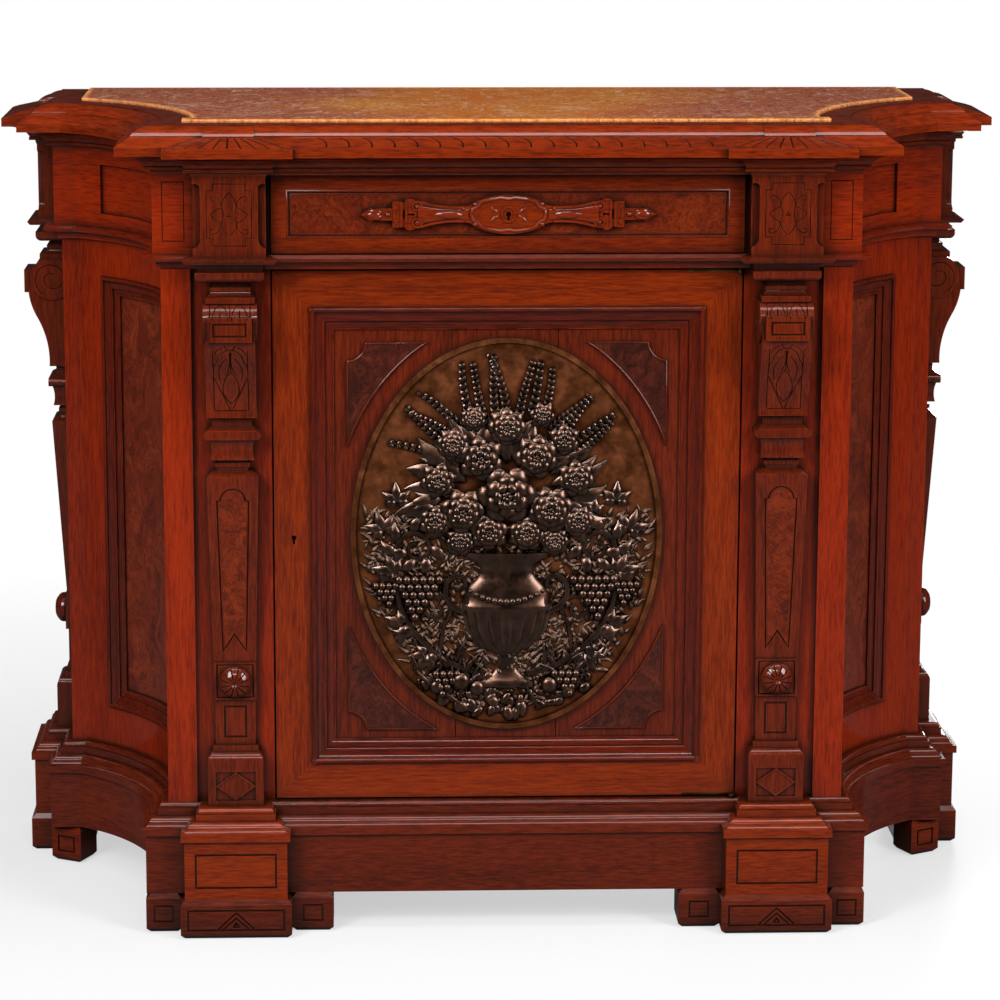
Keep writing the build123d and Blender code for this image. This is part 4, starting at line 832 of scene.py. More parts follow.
def carve(node, cuts, width, depth, step=6.0):
    """Cuts are rows of face, stroke and closed. The carved copy replaces the node."""
    body, slot = NODES[node]["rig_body"], NODES[node]["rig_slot"]
    shape = welded(node)
    surface = BVHTree.FromBMesh(shape)
    cutter = bmesh.new()
    for face, stroke, closed in cuts:
        path = laid_on(surface, face, stroke, closed, step)
        if len(path) > 1 + closed:
            sweep(cutter, path, width * MM / 2, 4, closed, face.out, depth / width * 2)
    target = finish_piece(shape, node + "_carved", NODES[node].data.materials[0], body, slot)
    tool = finish_piece(cutter, "gouge", groove_wax_and_shade, body, slot)
    cut = target.modifiers.new("gouge", "BOOLEAN")
    cut.operation, cut.object, cut.solver = "DIFFERENCE", tool, "EXACT"
    cut.use_self = True
    cut.material_mode = "TRANSFER"
    bpy.context.view_layer.update()
    ready = target.evaluated_get(bpy.context.evaluated_depsgraph_get())
    mesh = bpy.data.meshes.new_from_object(ready)
    target.modifiers.clear()
    target.data = mesh
    mesh.name = target.name
    mesh.set_sharp_from_angle(angle=SHARP_ANGLE)
    bpy.data.objects.remove(tool)
    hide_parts(node)
    print("carved", node, "faces", len(mesh.polygons))
    return target


# %% [markdown]
# ## Strokes of the pilasters
# All four pilasters carry the same drawing, so it is written once, in millimetres
# across and up from the pilaster's axis, and laid on each of them through a `Face`.
# The block of the frieze has a stepped frame with a strapwork figure, the roll two
# pointed scallops, the scroll below it a palmette over a lozenge, and the shaft an
# arched panel.

# %% The drawing
Z = {name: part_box("left_front_" + name)[0].z / MM for name in ("frieze_block", "bracket", "shaft")}
print("feet of the storeys:", {name: round(z) for name, z in Z.items()})


def mirror_strokes(strokes):
    return strokes + [([(-s, t) for s, t in line], closed) for line, closed in strokes]


def frieze_strokes():
    low, high = Z["frieze_block"] + 35.4, Z["frieze_block"] + 118.6
    wide, narrow, step_low, step_high = 30.0, 21.4, 10.6, 9.0
    frame_line = [
        (-wide, low + step_low), (-narrow, low + step_low), (-narrow, low), (narrow, low),
        (narrow, low + step_low), (wide, low + step_low), (wide, high - step_high),
        (narrow, high - step_high), (narrow, high), (-narrow, high), (-narrow, high - step_high),
        (-wide, high - step_high),
    ]
    middle = (low + high) / 2
    half = [
        (bowed((0, middle + 30), (10, middle + 10), 0.1), False),
        (bowed((10, middle + 10), (10.5, middle - 11), -0.12), False),
        (bowed((10.5, middle - 11), (0.5, middle - 28), 0.1), False),
        (bowed((21, middle + 25), (10, middle + 10), -0.2), False),
        (bowed((10, middle + 10), (25, middle + 0.5), 0.06), False),
        (bowed((25, middle + 0.5), (10.5, middle - 11), 0.06), False),
        (bowed((10.5, middle - 11), (22, middle - 26), -0.2), False),
        (arc((21, middle + 21.6), 3.4, 90, -130, 7), False),
        (arc((22, middle - 22.6), 3.4, -90, 130, 7), False),
    ]
    dot = [(-2.4, middle - 2), (2.4, middle - 2), (0, middle + 3)]
    return [(frame_line, True), (dot, True)] + mirror_strokes(half)


def bracket_strokes():
    low = Z["bracket"]
    roll = [
        (bowed((2.5, low + 139), (13, low + 157), 0.14, 5), False),
        (bowed((23.5, low + 139), (13, low + 157), -0.14, 5), False),
        ([(13, low + 139), (13, low + 150)], False),
        ([(27, low + 139), (27, low + 157)], False),
    ]
    scroll = [
        ([(23, low + 11), (23, low + 97)], False),
        (bowed((2, low + 98), (18, low + 80), 0.16), False),
        (bowed((18, low + 80), (23, low + 66), 0.1), False),
        (bowed((10, low + 101), (21, low + 90), 0.14), False),
        (bowed((2, low + 94), (7, low + 60), -0.1), False),
        (bowed((5, low + 86), (14, low + 52), 0.16), False),
        ([(1, low + 10), (22, low + 56)], False),
        (bowed((0, low + 65), (11, low + 38), 0.1), False),
        (bowed((11, low + 38), (0, low + 20), 0.1), False),
    ]
    base = [([(-23, low + 10), (23, low + 10)], False), (arc((0, low + 104), 7, 180, 360, 8), False)]
    middle = [([(0, low + 139), (0, low + 157)], False), ([(0, low + 96), (0, low + 66)], False)]
    return mirror_strokes(roll + scroll) + base + middle


PANEL_FOOT, PANEL_HEAD = 217.0, 430.0


def shaft_panel(inset):
    low, high = Z["shaft"] + PANEL_FOOT, Z["shaft"] + PANEL_HEAD
    narrow, wide = 16.0 - inset, 21.5 - inset
    arch = arc((0, high), 17.0 - inset, 0, 180, 14)
    return ([(-narrow, low + inset * 2), (0, low + 24 + inset), (narrow, low + inset * 2), (wide, high)]
            + arch + [(-wide, high)])


def shaft_strokes():
    square = rectangle(24.5, Z["shaft"] + 151.5, Z["shaft"] + 197.5)
    return [(shaft_panel(0.0), True), (square, True)]


def foot_strokes():
    chevron = [(-27, 12), (-3, 35), (0, 37), (3, 35), (27, 12)]
    dot = [(-4, 17), (4, 17), (0, 23)]
    return [(chevron, False), (dot, True), ([(-20, 12), (0, 30), (20, 12)], False)]


# %% [markdown]
# ## Four pilasters
# The front pilasters face -Y. The side ones face outwards, and their strokes are
# mirrored by their face alone, so the same rows serve them. Each bracket also has a
# spiral on both flanks of its roll, which is laid on from the side.

# %% Carve the pilasters
SIDES = ((-1, "left_"), (1, "right_"))
BEYOND = 0.6
ROLL_OUT, ROLL_RISE = 22.8, 129.6
SPIRAL_OUT, SPIRAL_IN, SPIRAL_STEPS = 26.0, 7.0, 30
front_face = Face((0.0, 0.0, 0.0), (1.0, 0.0, 0.0), (0.0, -1.0, 0.0))
front_axis = {}
for side, name in SIDES:
    block_low, block_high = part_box(name + "front_frieze_block")
    front_axis[name] = (block_low.x + block_high.x) / 2


def pilaster_faces(side, name, node="side_shaft"):
    """The front face and the outer face of a corner, each on its pilaster's own axis."""
    low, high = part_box(name + node)
    return {
        "front_": Face((front_axis[name], 0.0, 0.0), (1.0, 0.0, 0.0), (0.0, -1.0, 0.0)),
        "side_": Face((BEYOND * side, (low.y + high.y) / 2, 0.0), (0.0, 1.0, 0.0), (side * 1.0, 0.0, 0.0)),
    }


def roll_spirals(side, where, face, bracket):
    """A spiral for each flank of the roll, as cuts."""
    low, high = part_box(bracket)
    centre = low.lerp(high, 0.5)
    if where == "front_":
        ways, wall = ((1, 0, 0), (-1, 0, 0)), Vector((centre.x, high.y, 0.0))
    else:
        ways, wall = ((0, 1, 0), (0, -1, 0)), Vector((high.x if side < 0 else low.x, centre.y, 0.0))
    turns = []
    for i in range(SPIRAL_STEPS + 1):
        angle = math.radians(-60 + 540 * i / SPIRAL_STEPS)
        radius = SPIRAL_OUT - (SPIRAL_OUT - SPIRAL_IN) * i / SPIRAL_STEPS
        turns.append((radius * math.cos(angle), Z["bracket"] + ROLL_RISE + radius * math.sin(angle)))
    return [(Face(wall + face.out * ROLL_OUT * MM, face.out, Vector(way)), turns, False) for way in ways]


def on_face(face, strokes):
    return [(face, line, closed) for line, closed in strokes]


for side, name in SIDES:
    faces = pilaster_faces(side, name, "side_frieze_block")
    for where, face in faces.items():
        carve(name + where + "frieze_block", on_face(face, frieze_strokes()), *BLOCK_GOUGE)
        carve(name + where + "shaft", on_face(face, shaft_strokes()), *SHAFT_GOUGE)
    for where, face in faces.items():
        bracket = name + where + "bracket"
        cuts = on_face(face, bracket_strokes()) + roll_spirals(side, where, face, bracket)
        carve(bracket, cuts, *BRACKET_GOUGE)
    carve(name + "front_feet", on_face(faces["front_"], foot_strokes()), *FOOT_GOUGE)
    carve(name + "side_foot", on_face(faces["side_"], foot_strokes()), *FOOT_GOUGE)

# %% [markdown]
# ## More lines: half blocks, door boards, buttons and cornice
# The half blocks beside the frieze blocks carry a plain incised frame, the door's
# boards open V joints, and the turned buttons a ring of rays. The wash of the cornice
# has a row of slanting flutes between the pilasters and rays on each break. Those are
# laid from above, because the wash faces up.

# %% Carve the rest of the case
HALF_BLOCK_X, HALF_BLOCK_W = 449.0, 14.5
for side, name in SIDES:
    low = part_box(name + "frieze")[0].z / MM
    line = rectangle(HALF_BLOCK_W, low + 38.0, low + 118.0, side * HALF_BLOCK_X)
    carve(name + "frieze", [(front_face, line, True)], *FINE_GOUGE)

SEAM_X, SEAM_END = 69.5, 2.0
board_low, board_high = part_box("door_panel")
seams = []
for side in (-1, 1):
    line = [(side * SEAM_X, board_low.z / MM + SEAM_END), (side * SEAM_X, board_high.z / MM - SEAM_END)]
    seams.append((front_face, line, False))
carve("door_panel", seams, *JOINT_GOUGE)

BUTTON_RISE, BUTTON_RAYS = 174.5, 12
RAY_STOPS = (6, 11, 16, 20)
button_cuts = []
for side, name in SIDES:
    middle = Z["shaft"] + BUTTON_RISE
    for face in pilaster_faces(side, name).values():
        for i in range(BUTTON_RAYS):
            angle = math.radians(360 / BUTTON_RAYS * i + 15)
            line = [(r * math.cos(angle), middle + r * math.sin(angle)) for r in RAY_STOPS]
            button_cuts.append((face, line, False))
carve("rosettes", button_cuts, *RAY_GOUGE)

RUN_START, FLUTES, FLUTE_PITCH, FLUTE_SLANT = -255.0, 18, 30.0, 12.0
WASH_FRONT, WASH_BACK = -263.0, -233.0
BREAK_RAYS, RAYS_FRONT, RAYS_BACK = 9, -274.0, -241.0
above = Face((0.0, 0.0, 1.0), (1.0, 0.0, 0.0), (0.0, 0.0, 1.0), (0.0, 1.0, 0.0))
flutes = []
for i in range(FLUTES):
    x = RUN_START + FLUTE_PITCH * i
    flutes.append((above, bowed((x, WASH_BACK), (x + FLUTE_SLANT, WASH_FRONT), 0.16, 5), False))
for side, name in SIDES:
    axis = front_axis[name] / MM
    for i in range(BREAK_RAYS):
        t = (i - 4) / 4
        start, end = (axis + 34.0 * t, RAYS_BACK), (axis + 74.0 * t, RAYS_FRONT)
        flutes.append((above, bowed(start, end, 0.05 * t, 3), False))
carve("cornice_front", flutes, *FLUTE_GOUGE)

# %% [markdown]
# ## Burl inlays
# Sheets of burl are let into the tapered shafts and the drawer. A sheet 0.3 mm proud
# of the wood reads as veneer, and hides no carving. It is one face, drawn through
# points that rays find on the CAD surface, and extruded into the wood.

# %% Lay the burl
PROUD = 0.3 * MM
FLAT_STEP = 400.0
INLAY_INSET = 2.6


def surface_of(node):
    shape = welded(node)
    surface = BVHTree.FromBMesh(shape)
    shape.free()
    return surface


def inlay(name, node, face, outline, body):
    shape = bmesh.new()
    corners = []
    for point in laid_on(surface_of(node), face, outline, True, FLAT_STEP):
        corners.append(shape.verts.new(point + face.out * PROUD))
    sheet = bmesh.ops.contextual_create(shape, geom=corners)["faces"]
    grown = bmesh.ops.extrude_face_region(shape, geom=sheet)["geom"]
    moved = [item for item in grown if isinstance(item, bmesh.types.BMVert)]
    bmesh.ops.translate(shape, verts=moved, vec=-face.out * PROUD * 3)
    return finish_piece(shape, name, burl_wood, body, "burl")


BAND, FIELD_D = 20.0, 4.0
front_low, front_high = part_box("drawer_front")
field_half = (front_high.x - front_low.x) / MM / 2 - BAND
field_low, field_high = front_low.z / MM + BAND, front_high.z / MM - BAND
for side, name in SIDES:
    for where, face in pilaster_faces(side, name).items():
        inlay(name + where + "inlay", name + where + "shaft", face, shaft_panel(INLAY_INSET), "case")
field = rectangle(field_half - 1.0, field_low + 1.0, field_high - 1.0)
inlay("drawer_field", "drawer_front", front_face, field, "drawer")

# %% [markdown]
# ## Beads
# A half-round bead is a sweep round a closed line, mitred at its corners: a lozenge on
# the die of each shaft, and two rectangles where the drawer's field meets its band.

# %% Lay the beads
LOZENGE_RISE, LOZENGE_W, LOZENGE_H, LOZENGE_BEAD = 28.5, 25.5, 18.8, 1.3
middle = Z["shaft"] + LOZENGE_RISE
lozenge = [(LOZENGE_W, middle), (0.0, middle + LOZENGE_H), (-LOZENGE_W, middle), (0.0, middle - LOZENGE_H)]
for side, name in SIDES:
    for where, face in pilaster_faces(side, name).items():
        path = laid_on(surface_of(name + where + "shaft"), face, lozenge, True, FLAT_STEP)
        edge = bmesh.new()
        sweep(edge, path, LOZENGE_BEAD * MM, 6, True, face.out)
        finish_piece(edge, name + where + "lozenge", upright_wood, "case", "mahogany")


def drawer_bead(name, inset, depth, radius, flat):
    corners = rectangle(field_half - inset, field_low + inset, field_high - inset)
    shape = bmesh.new()
    path = [Vector((x * MM, depth, z * MM)) for x, z in corners]
    sweep(shape, path, radius * MM, 8, True, FRONT, flat)
    return finish_piece(shape, name, bead_wood, "drawer", "mahogany")


drawer_bead("drawer_bead", 1.5, front_low.y + FIELD_D * MM * 0.4, 1.8, 1.2)
drawer_bead("drawer_inner_bead", 6.0, front_low.y + FIELD_D * MM, 1.2, 1.0)

# %% [markdown]
# The spandrels of the door are framed by a small bead. Its path is the edge of the
# CAD solids' own front faces, so it follows the notched corner and the oval exactly.

# %% Beads round the spandrels
FACES_FRONT = -0.9
BEAD_OUT, BEAD_STEP, BEAD_R = 1.2, 1.5, 1.3


def front_loops(node):
    """The outlines of a node's foremost faces, each a closed row of points."""
    shape = welded(node)
    foremost = min(vert.co.y for vert in shape.verts) + 0.2 * MM
    faces = {face for face in shape.faces
             if face.normal.y < FACES_FRONT and all(vert.co.y < foremost for vert in face.verts)}
    after = {}
    for face in faces:
        for loop in face.loops:
            if not any(other in faces and other is not face for other in loop.edge.link_faces):
                after[loop.vert.index] = (loop.link_loop_next.vert.index, loop.vert.co.copy())
    shape.free()
    loops = []
    while after:
        start = next(iter(after))
        here, found = start, []
        while here in after:
            here, place = after.pop(here)
            found.append(place)
        loops.append(found)
    return loops


def inset(loop, by):
    """The same loop drawn in by a small amount, in the plane of the front."""
    found = []
    for i, point in enumerate(loop):
        into = (point - loop[i - 1]).normalized()
        away = (loop[(i + 1) % len(loop)] - point).normalized()
        side = (into + away).normalized().cross(FRONT)
        found.append(point + side * by / max(0.6, (into + away).length / 2))
    return found


def thinned(loop, least):
    found = [loop[0]]
    for point in loop[1:]:
        if (point - found[-1]).length > least:
            found.append(point)
    return found


beads = bmesh.new()
for loop in front_loops("door_spandrels"):
    if len(loop) > 3:
        path = thinned(inset(loop, -BEAD_OUT * MM), BEAD_STEP * MM)
        sweep(beads, path, BEAD_R * MM, 8, True)
finish_piece(beads, "spandrel_beads", bead_wood, "door", "mahogany")

# %% [markdown]
# ## The carved pull
# The drawer is opened by its carved pull: a strapwork cartouche round the keyhole,
# two arms that end in paired scrolls, a banded collar and a leaf finial. The CAD node
# gives the flat silhouette. Here the relief goes on top of it: straps and scrolls are
# sweeps along ovals and spirals, and the leaves are sweeps that swell and come to a
# point.

# %% Carve the pull
pull_low, pull_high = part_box("drawer_escutcheon")
PULL_FACE = pull_low.y
PULL_Z = (pull_low.z + pull_high.z) / 2


def leaf(shape, base, angle, length, width, curl, lift, rise, plane, sides=6, thick=0.34, steps=8, skew=0.75):
    """A leaf from its base; curl turns it along the way, skew above 1 makes a round tip."""
    path, radii = [], []
    u, w = base
    for i in range(steps + 1):
        t = i / steps
        turn = angle + curl * t
        arch = math.sin(math.pi * min(1.0, t * 1.1)) ** 0.8 if 0 < t < 1 else 0.0
        path.append(plane(u, w, lift + rise * arch))
        radii.append(max(0.04, math.sin(math.pi * t ** skew)) * width * MM)
        u += math.cos(turn) * length / steps
        w += math.sin(turn) * length / steps
    sweep(shape, path, radii, sides, False, FRONT, thick)


def spiral(centre, radius, start, turns, way, steps=22, tight=0.22):
    found = []
    for i in range(steps + 1):
        t = i / steps
        angle = math.radians(start + way * 360 * turns * t)
        r = radius * (1 - (1 - tight) * t)
        found.append((centre[0] + r * math.cos(angle), centre[1] + r * math.sin(angle)))
    return found


def on_pull(u, w, h):
    return Vector((u * MM, PULL_FACE - h * MM, PULL_Z + w * MM))


def strap(shape, line, radius, h, plane, closed=False, sides=8, flat=0.7):
    path = [plane(u, w, h) for u, w in line]
    sweep(shape, path, [r * MM for r in radius] if isinstance(radius, list) else radius * MM,
          sides, closed, FRONT, flat)


def oval(half_u, half_w, count=40):
    return [(half_u * math.cos(2 * math.pi * i / count), half_w * math.sin(2 * math.pi * i / count))
            for i in range(count)]


def knob(whole, place, radius, squash=0.6, detail=2, turn=0.0, tall=1.0):
    matrix = Matrix.Translation(place) @ Matrix.Rotation(turn, 4, "Y")
    matrix = matrix @ Matrix.Diagonal((1.0, squash, tall, 1.0))
    shape = bmesh.new()
    bmesh.ops.create_icosphere(shape, subdivisions=detail, radius=radius * MM, matrix=matrix)
    join_to(whole, shape)


def pull_half(shape, way):
    def plane(u, w, h):
        return on_pull(u * way, w, h)
    for up in (-1, 1):
        centre = (123.0, 10.5 * up)
        strap(shape, spiral(centre, 8.0, 200 if up > 0 else 160, 1.5, -up), 1.7, 0.6, plane)
        knob(shape, plane(centre[0], centre[1], 0.8), 2.6, 0.9)
        strap(shape, bowed((60, 9.5 * up), (117, 16.5 * up), -0.05 * up), 2.0, 0.2, plane, False, 8, 0.8)
    strap(shape, [(54, 0), (74, 0), (96, 0), (121, 0)], [8.5, 7.5, 9.5, 14.5], -0.9, plane, False, 16, 0.26)
    knob(shape, plane(61, 8, 0.8), 2.6, 0.9)
    leaf(shape, (62, 0), 0.0, 40, 5.0, 0.0, 1.0, 2.4, plane)
    for u, half in ((137, 17.0), (143.5, 17.0)):
        strap(shape, [(u, -half), (u, 0), (u, half)], 2.0, 0.2, plane, False, 8, 0.8)
    strap(shape, [(150, -13), (152.5, -7), (153, 0), (152.5, 7), (150, 13)], 2.2, 0.2, plane)
    knob(shape, plane(162, 0, -0.8), 4.4, 1.0)
    for turn in (-0.42, 0.42):
        leaf(shape, (167, 0), turn, 27, 4.4, -turn * 1.9, -2.4, 3.0, plane, 8, 0.8)
    leaf(shape, (168, 0), 0.0, 29, 4.0, 0.0, -1.4, 3.6, plane, 8, 0.8)


CARTOUCHE = [(52, 0), (50, 9), (43, 12.5), (38, 19), (26, 22), (12, 24), (0, 22.5)]


def cartouche(shrink):
    right = [(u - shrink, w - shrink * 0.8 if w > shrink else w * 0.6) for u, w in CARTOUCHE[:-1]]
    top = [(0, CARTOUCHE[-1][1] - shrink * 0.8)]
    quarter = right + top
    left = [(-u, w) for u, w in reversed(right)]
    upper = quarter + left
    return upper + [(-u, -w) for u, w in upper[1:-1]]


carving = bmesh.new()
for way in (-1, 1):
    pull_half(carving, way)
strap(carving, cartouche(2.0), 2.6, -0.2, on_pull, True, 8, 0.9)
strap(carving, oval(40.5, 13.5), 0.9, 0.1, on_pull, True)
strap(carving, oval(9.0, 10.0, 24), 1.9, 0.4, on_pull, True)
for way in (-1, 1):
    for up in (-1, 1):
        strap(carving, spiral((way * 22, 4.5 * up), 4.4, 90, 1.1, way * up, 14), 0.7, 0.1, on_pull)
        leaf(carving, (way * 14, 1.5 * up), math.atan2(up * 0.8, way), 15, 2.0, 0.0, 0.0, 0.8, on_pull)
        knob(carving, on_pull(way * 45, 13.5 * up, 0.4), 3.4, 0.7)
finish_piece(carving, "drawer_pull_carving", lying_wood, "drawer", "mahogany")

# %% [markdown]
# ## The bronze relief
# The oval plaque holds a generic still life in deep and busy relief, made up for this
# part: a fluted urn full of flowers, with
# scrolling stalks, vine leaves and grapes, on a ground of stones and grass. A cast
# relief is a flat half of a round form, so every form here is built round and pressed
# towards the field. A sculpted grid could be displaced by a picture instead, but
# separate leaves and petals keep the crisp shadows that bronze has.

# %% Relief: the shared shapes
rim_low, rim_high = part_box("medallion")
RELIEF_Z = (rim_low.z + rim_high.z) / 2
FIELD_Y = rim_low.y + 4.0 * MM
FIELD_U, FIELD_W = 206.5, 268.0
draw = random.Random(7)


def on_field(u, w, h):
    return Vector((u * MM, FIELD_Y - h * MM, RELIEF_Z + w * MM))


def inside(u, w, share=0.96):
    return (u / FIELD_U) ** 2 + (w / FIELD_W) ** 2 < share ** 2


def field_leaf(shape, base, angle, length, width, curl, lift, rise, thick=0.3, sides=6):
    tip = (base[0] + math.cos(angle + curl / 2) * length, base[1] + math.sin(angle + curl / 2) * length)
    if inside(*tip) and inside(*base):
        leaf(shape, base, angle, length, width, curl, lift, rise, on_field, sides, thick)


def vine_leaf(shape, base, angle, size, lift):
    for turn, share in ((-1.5, 0.62), (-0.8, 0.85), (0.0, 1.0), (0.8, 0.85), (1.5, 0.62)):
        field_leaf(shape, base, angle + turn, size * share, size * 0.2, turn * 0.25, lift, 2.5)


def flower(shape, u, w, radius, lift, petals=6):
    """Three rings of broad petals with round tips, the inner ones standing higher."""
    for layer, (reach, wide, high) in enumerate(((0.98, 0.33, 0.0), (0.7, 0.27, 0.16), (0.42, 0.17, 0.26))):
        for i in range(petals):
            angle = 2 * math.pi * (i + layer * 0.5) / petals + u
            base = (u + math.cos(angle) * radius * 0.08, w + math.sin(angle) * radius * 0.08)
            leaf(shape, base, angle, radius * reach, radius * wide, draw.uniform(-0.2, 0.2),
                 lift + radius * high, radius * 0.1, on_field, 8, 0.3, 7, 1.7)
    for i in range(5):
        angle = math.tau * i / 5
        place = on_field(u + math.cos(angle) * radius * 0.1, w + math.sin(angle) * radius * 0.1,
                         lift + radius * 0.34)
        knob(shape, place, radius * 0.075, 0.8, 1)


def grapes(shape, u, w, rows, radius, lean=0.0):
    for row in range(rows):
        count = rows - row
        for i in range(count):
            at_u = u + (i - (count - 1) / 2) * radius * 1.55 + lean * row
            at_w = w - row * radius * 1.45
            if inside(at_u, at_w):
                middle = 1 - abs(i - (count - 1) / 2) / max(1, count)
                knob(shape, on_field(at_u, at_w, 2.0 + 4.0 * middle), radius, 1.0)


# %% [markdown]
# The urn is a profile spun through a full turn and pressed flat. The lobes of its
# lower half are made by drawing the points in between them, and a garland hangs over
# its belly.

# %% Relief: the urn and its handles
URN = [(0, -214), (40, -214), (40, -207), (33, -204), (18, -195), (11, -184), (15, -177), (11, -170),
       (26, -164), (38, -156), (49, -145), (56, -132), (60, -118), (62, -106), (65, -104), (65, -98),
       (61, -96), (60, -84), (54, -72), (44, -62), (38, -54), (38, -46), (46, -38), (58, -32), (60, -24),
       (0, -24)]
URN_STEPS, LOBES, URN_FLAT = 108, 9, 0.25


def urn():
    shape = bmesh.new()
    verts = [shape.verts.new(on_field(r, w, 0)) for r, w in URN]
    edges = [shape.edges.new(pair) for pair in zip(verts, verts[1:])]
    bmesh.ops.spin(shape, geom=verts + edges, cent=on_field(0, 0, 0), axis=(0, 0, 1),
                   angle=math.tau, steps=URN_STEPS, use_merge=True)
    bmesh.ops.remove_doubles(shape, verts=shape.verts, dist=1e-5)
    for vert in shape.verts:
        u, depth = vert.co.x, vert.co.y - FIELD_Y
        w = (vert.co.z - RELIEF_Z) / MM
        lobe = abs(math.sin(LOBES * math.atan2(depth, u)))
        squeeze = 0.86 + 0.14 * lobe if -168 < w < -106 else 1.0
        vert.co.x = u * squeeze
        vert.co.y = FIELD_Y + depth * squeeze * URN_FLAT
    for way in (-1, 1):
        line = [(way * u, w) for u, w in
                ((58, -108), (72, -102), (84, -86), (83, -66), (70, -56), (57, -60), (56, -71), (65, -74))]
        strap(shape, line, [5.0, 4.6, 4.2, 4.0, 3.6, 3.2, 2.6, 2.0], 4.0, on_field)
    for i in range(13):
        t = i / 6 - 1
        place = on_field(50 * t, -78 - 14 * (1 - t * t), 15.5 * math.sqrt(1 - 0.65 * t * t) - 1)
        knob(shape, place, 5.6 - 2.4 * t * t, 0.7, 2)
    return finish_piece(shape, "relief_urn", bronze, "door", "bronze")


urn()

# %% [markdown]
# The bouquet is a dome of open flowers over a fan of leaves, with thin sprays of buds
# that reach up into the quiet part of the field.

# %% Relief: bouquet and sprays
def bouquet():
    shape = bmesh.new()
    for i in range(64):
        angle = math.radians(-14 + 208 * i / 63 + draw.uniform(-3, 3))
        start = draw.uniform(55, 96)
        base = (math.cos(angle) * start * 1.05, 36 + math.sin(angle) * start)
        field_leaf(shape, base, angle + draw.uniform(-0.3, 0.3), draw.uniform(40, 66),
                   draw.uniform(7, 12), draw.uniform(-0.9, 0.9), 1.0 + i % 3, 4.0)
    heads = [
        (0, 58, 42), (-60, 34, 32), (60, 36, 33), (-36, 108, 32), (40, 110, 31), (0, 152, 27),
        (-94, 78, 25), (95, 80, 26), (-74, 128, 23), (78, 134, 22), (-24, 6, 27), (28, 4, 26),
        (-98, 20, 22), (98, 20, 22), (-46, 164, 18), (48, 168, 18), (-64, -8, 20), (66, -8, 20),
    ]
    for n, (u, w, radius) in enumerate(heads):
        flower(shape, u, w, radius, 5.0 + radius * 0.12, 6 + n % 3)
    return finish_piece(shape, "relief_bouquet", bronze, "door", "bronze")


def sprays():
    shape = bmesh.new()
    for i in range(15):
        angle = math.radians(28 + 124 * i / 14)
        curl = draw.uniform(-0.5, 0.5)
        length = draw.uniform(90, 122)
        u, w = math.cos(angle) * 78, 60 + math.sin(angle) * 82
        stalk = []
        for step in range(13):
            t = step / 12
            turn = angle + curl * t
            if not inside(u, w):
                break
            stalk.append((u, w))
            u += math.cos(turn) * length / 12
            w += math.sin(turn) * length / 12
        if len(stalk) < 4:
            continue
        strap(shape, stalk, 1.4, 1.6, on_field, False, 6)
        for n, (bud_u, bud_w) in enumerate(stalk[3:]):
            for way in (-1, 1):
                turn = angle + curl * n / 12 + way * 0.7
                field_leaf(shape, (bud_u, bud_w), turn, 13 - n * 0.6, 3.0, way * -0.6, 1.5, 2.5, 0.6)
    return finish_piece(shape, "relief_sprays", bronze, "door", "bronze")


BLADES = 2600


def meadow():
    """Low blades and small leaves that fill the field behind the urn."""
    shape = bmesh.new()
    for _ in range(BLADES):
        u, w = draw.uniform(-200, 200), draw.uniform(-262, 40)
        if inside(u, w, 0.95) and w < 34 - 40 * (1 - abs(u) / 200):
            lean = math.radians(90 + draw.uniform(-80, 80))
            leaf(shape, (u, w), lean, draw.uniform(10, 24), draw.uniform(1.8, 3.8),
                 draw.uniform(-1.0, 1.0), 0.1, draw.uniform(0.6, 2.4), on_field, 4, 0.5, 4)
    return finish_piece(shape, "relief_meadow", low_bronze, "door", "bronze")


bouquet()
sprays()
meadow()

# %% [markdown]
# Stalks scroll out from under the urn to both sides and carry vine leaves and grapes.

# %% Relief: scrolls and grapes
def scrolls():
    shape = bmesh.new()
    for way in (-1, 1):
        main = [(30, -196), (66, -186), (100, -166), (128, -136), (146, -100), (154, -60), (150, -24)]
        line = main + spiral((124, -18), 26, 0, 1.25, 1, 18, 0.25)
        line = [(way * u, w) for u, w in line]
        strap(shape, line, [4.6 - 3.2 * i / len(line) for i in range(len(line))], 3.0, on_field)
        low = [(way * u, w) for u, w in spiral((98, -104), 24, 240, 1.3, -1, 18, 0.25)]
        strap(shape, [(way * 92, -172)] + low, 2.6, 2.6, on_field)
        for i in range(3, 22, 2):
            u, w = line[min(i, len(line) - 1)] if i < 7 else line[i - 1]
            angle = math.atan2(w + 18, u - way * 124) if i >= 7 else math.atan2(w, u)
            field_leaf(shape, (u, w), angle + way * 0.5, 30, 6.5, way * 0.9, 2.0, 3.5)
        for u, w, angle, size in ((152, -52, 0.2, 34), (168, 6, 1.2, 32), (140, -126, -0.5, 36),
                                  (108, -168, -1.0, 32), (150, 46, 1.5, 30), (120, 30, 2.4, 28)):
            vine_leaf(shape, (way * u, w), angle if way > 0 else math.pi - angle, size, 2.5)
        grapes(shape, way * 120, -62, 6, 7.2, way * 1.2)
        grapes(shape, way * 166, -70, 4, 5.8, -way * 1.5)
        grapes(shape, way * 82, -196, 4, 6.4, way * 2.0)
    return finish_piece(shape, "relief_scrolls", bronze, "door", "bronze")


GROUND_BITS = 150


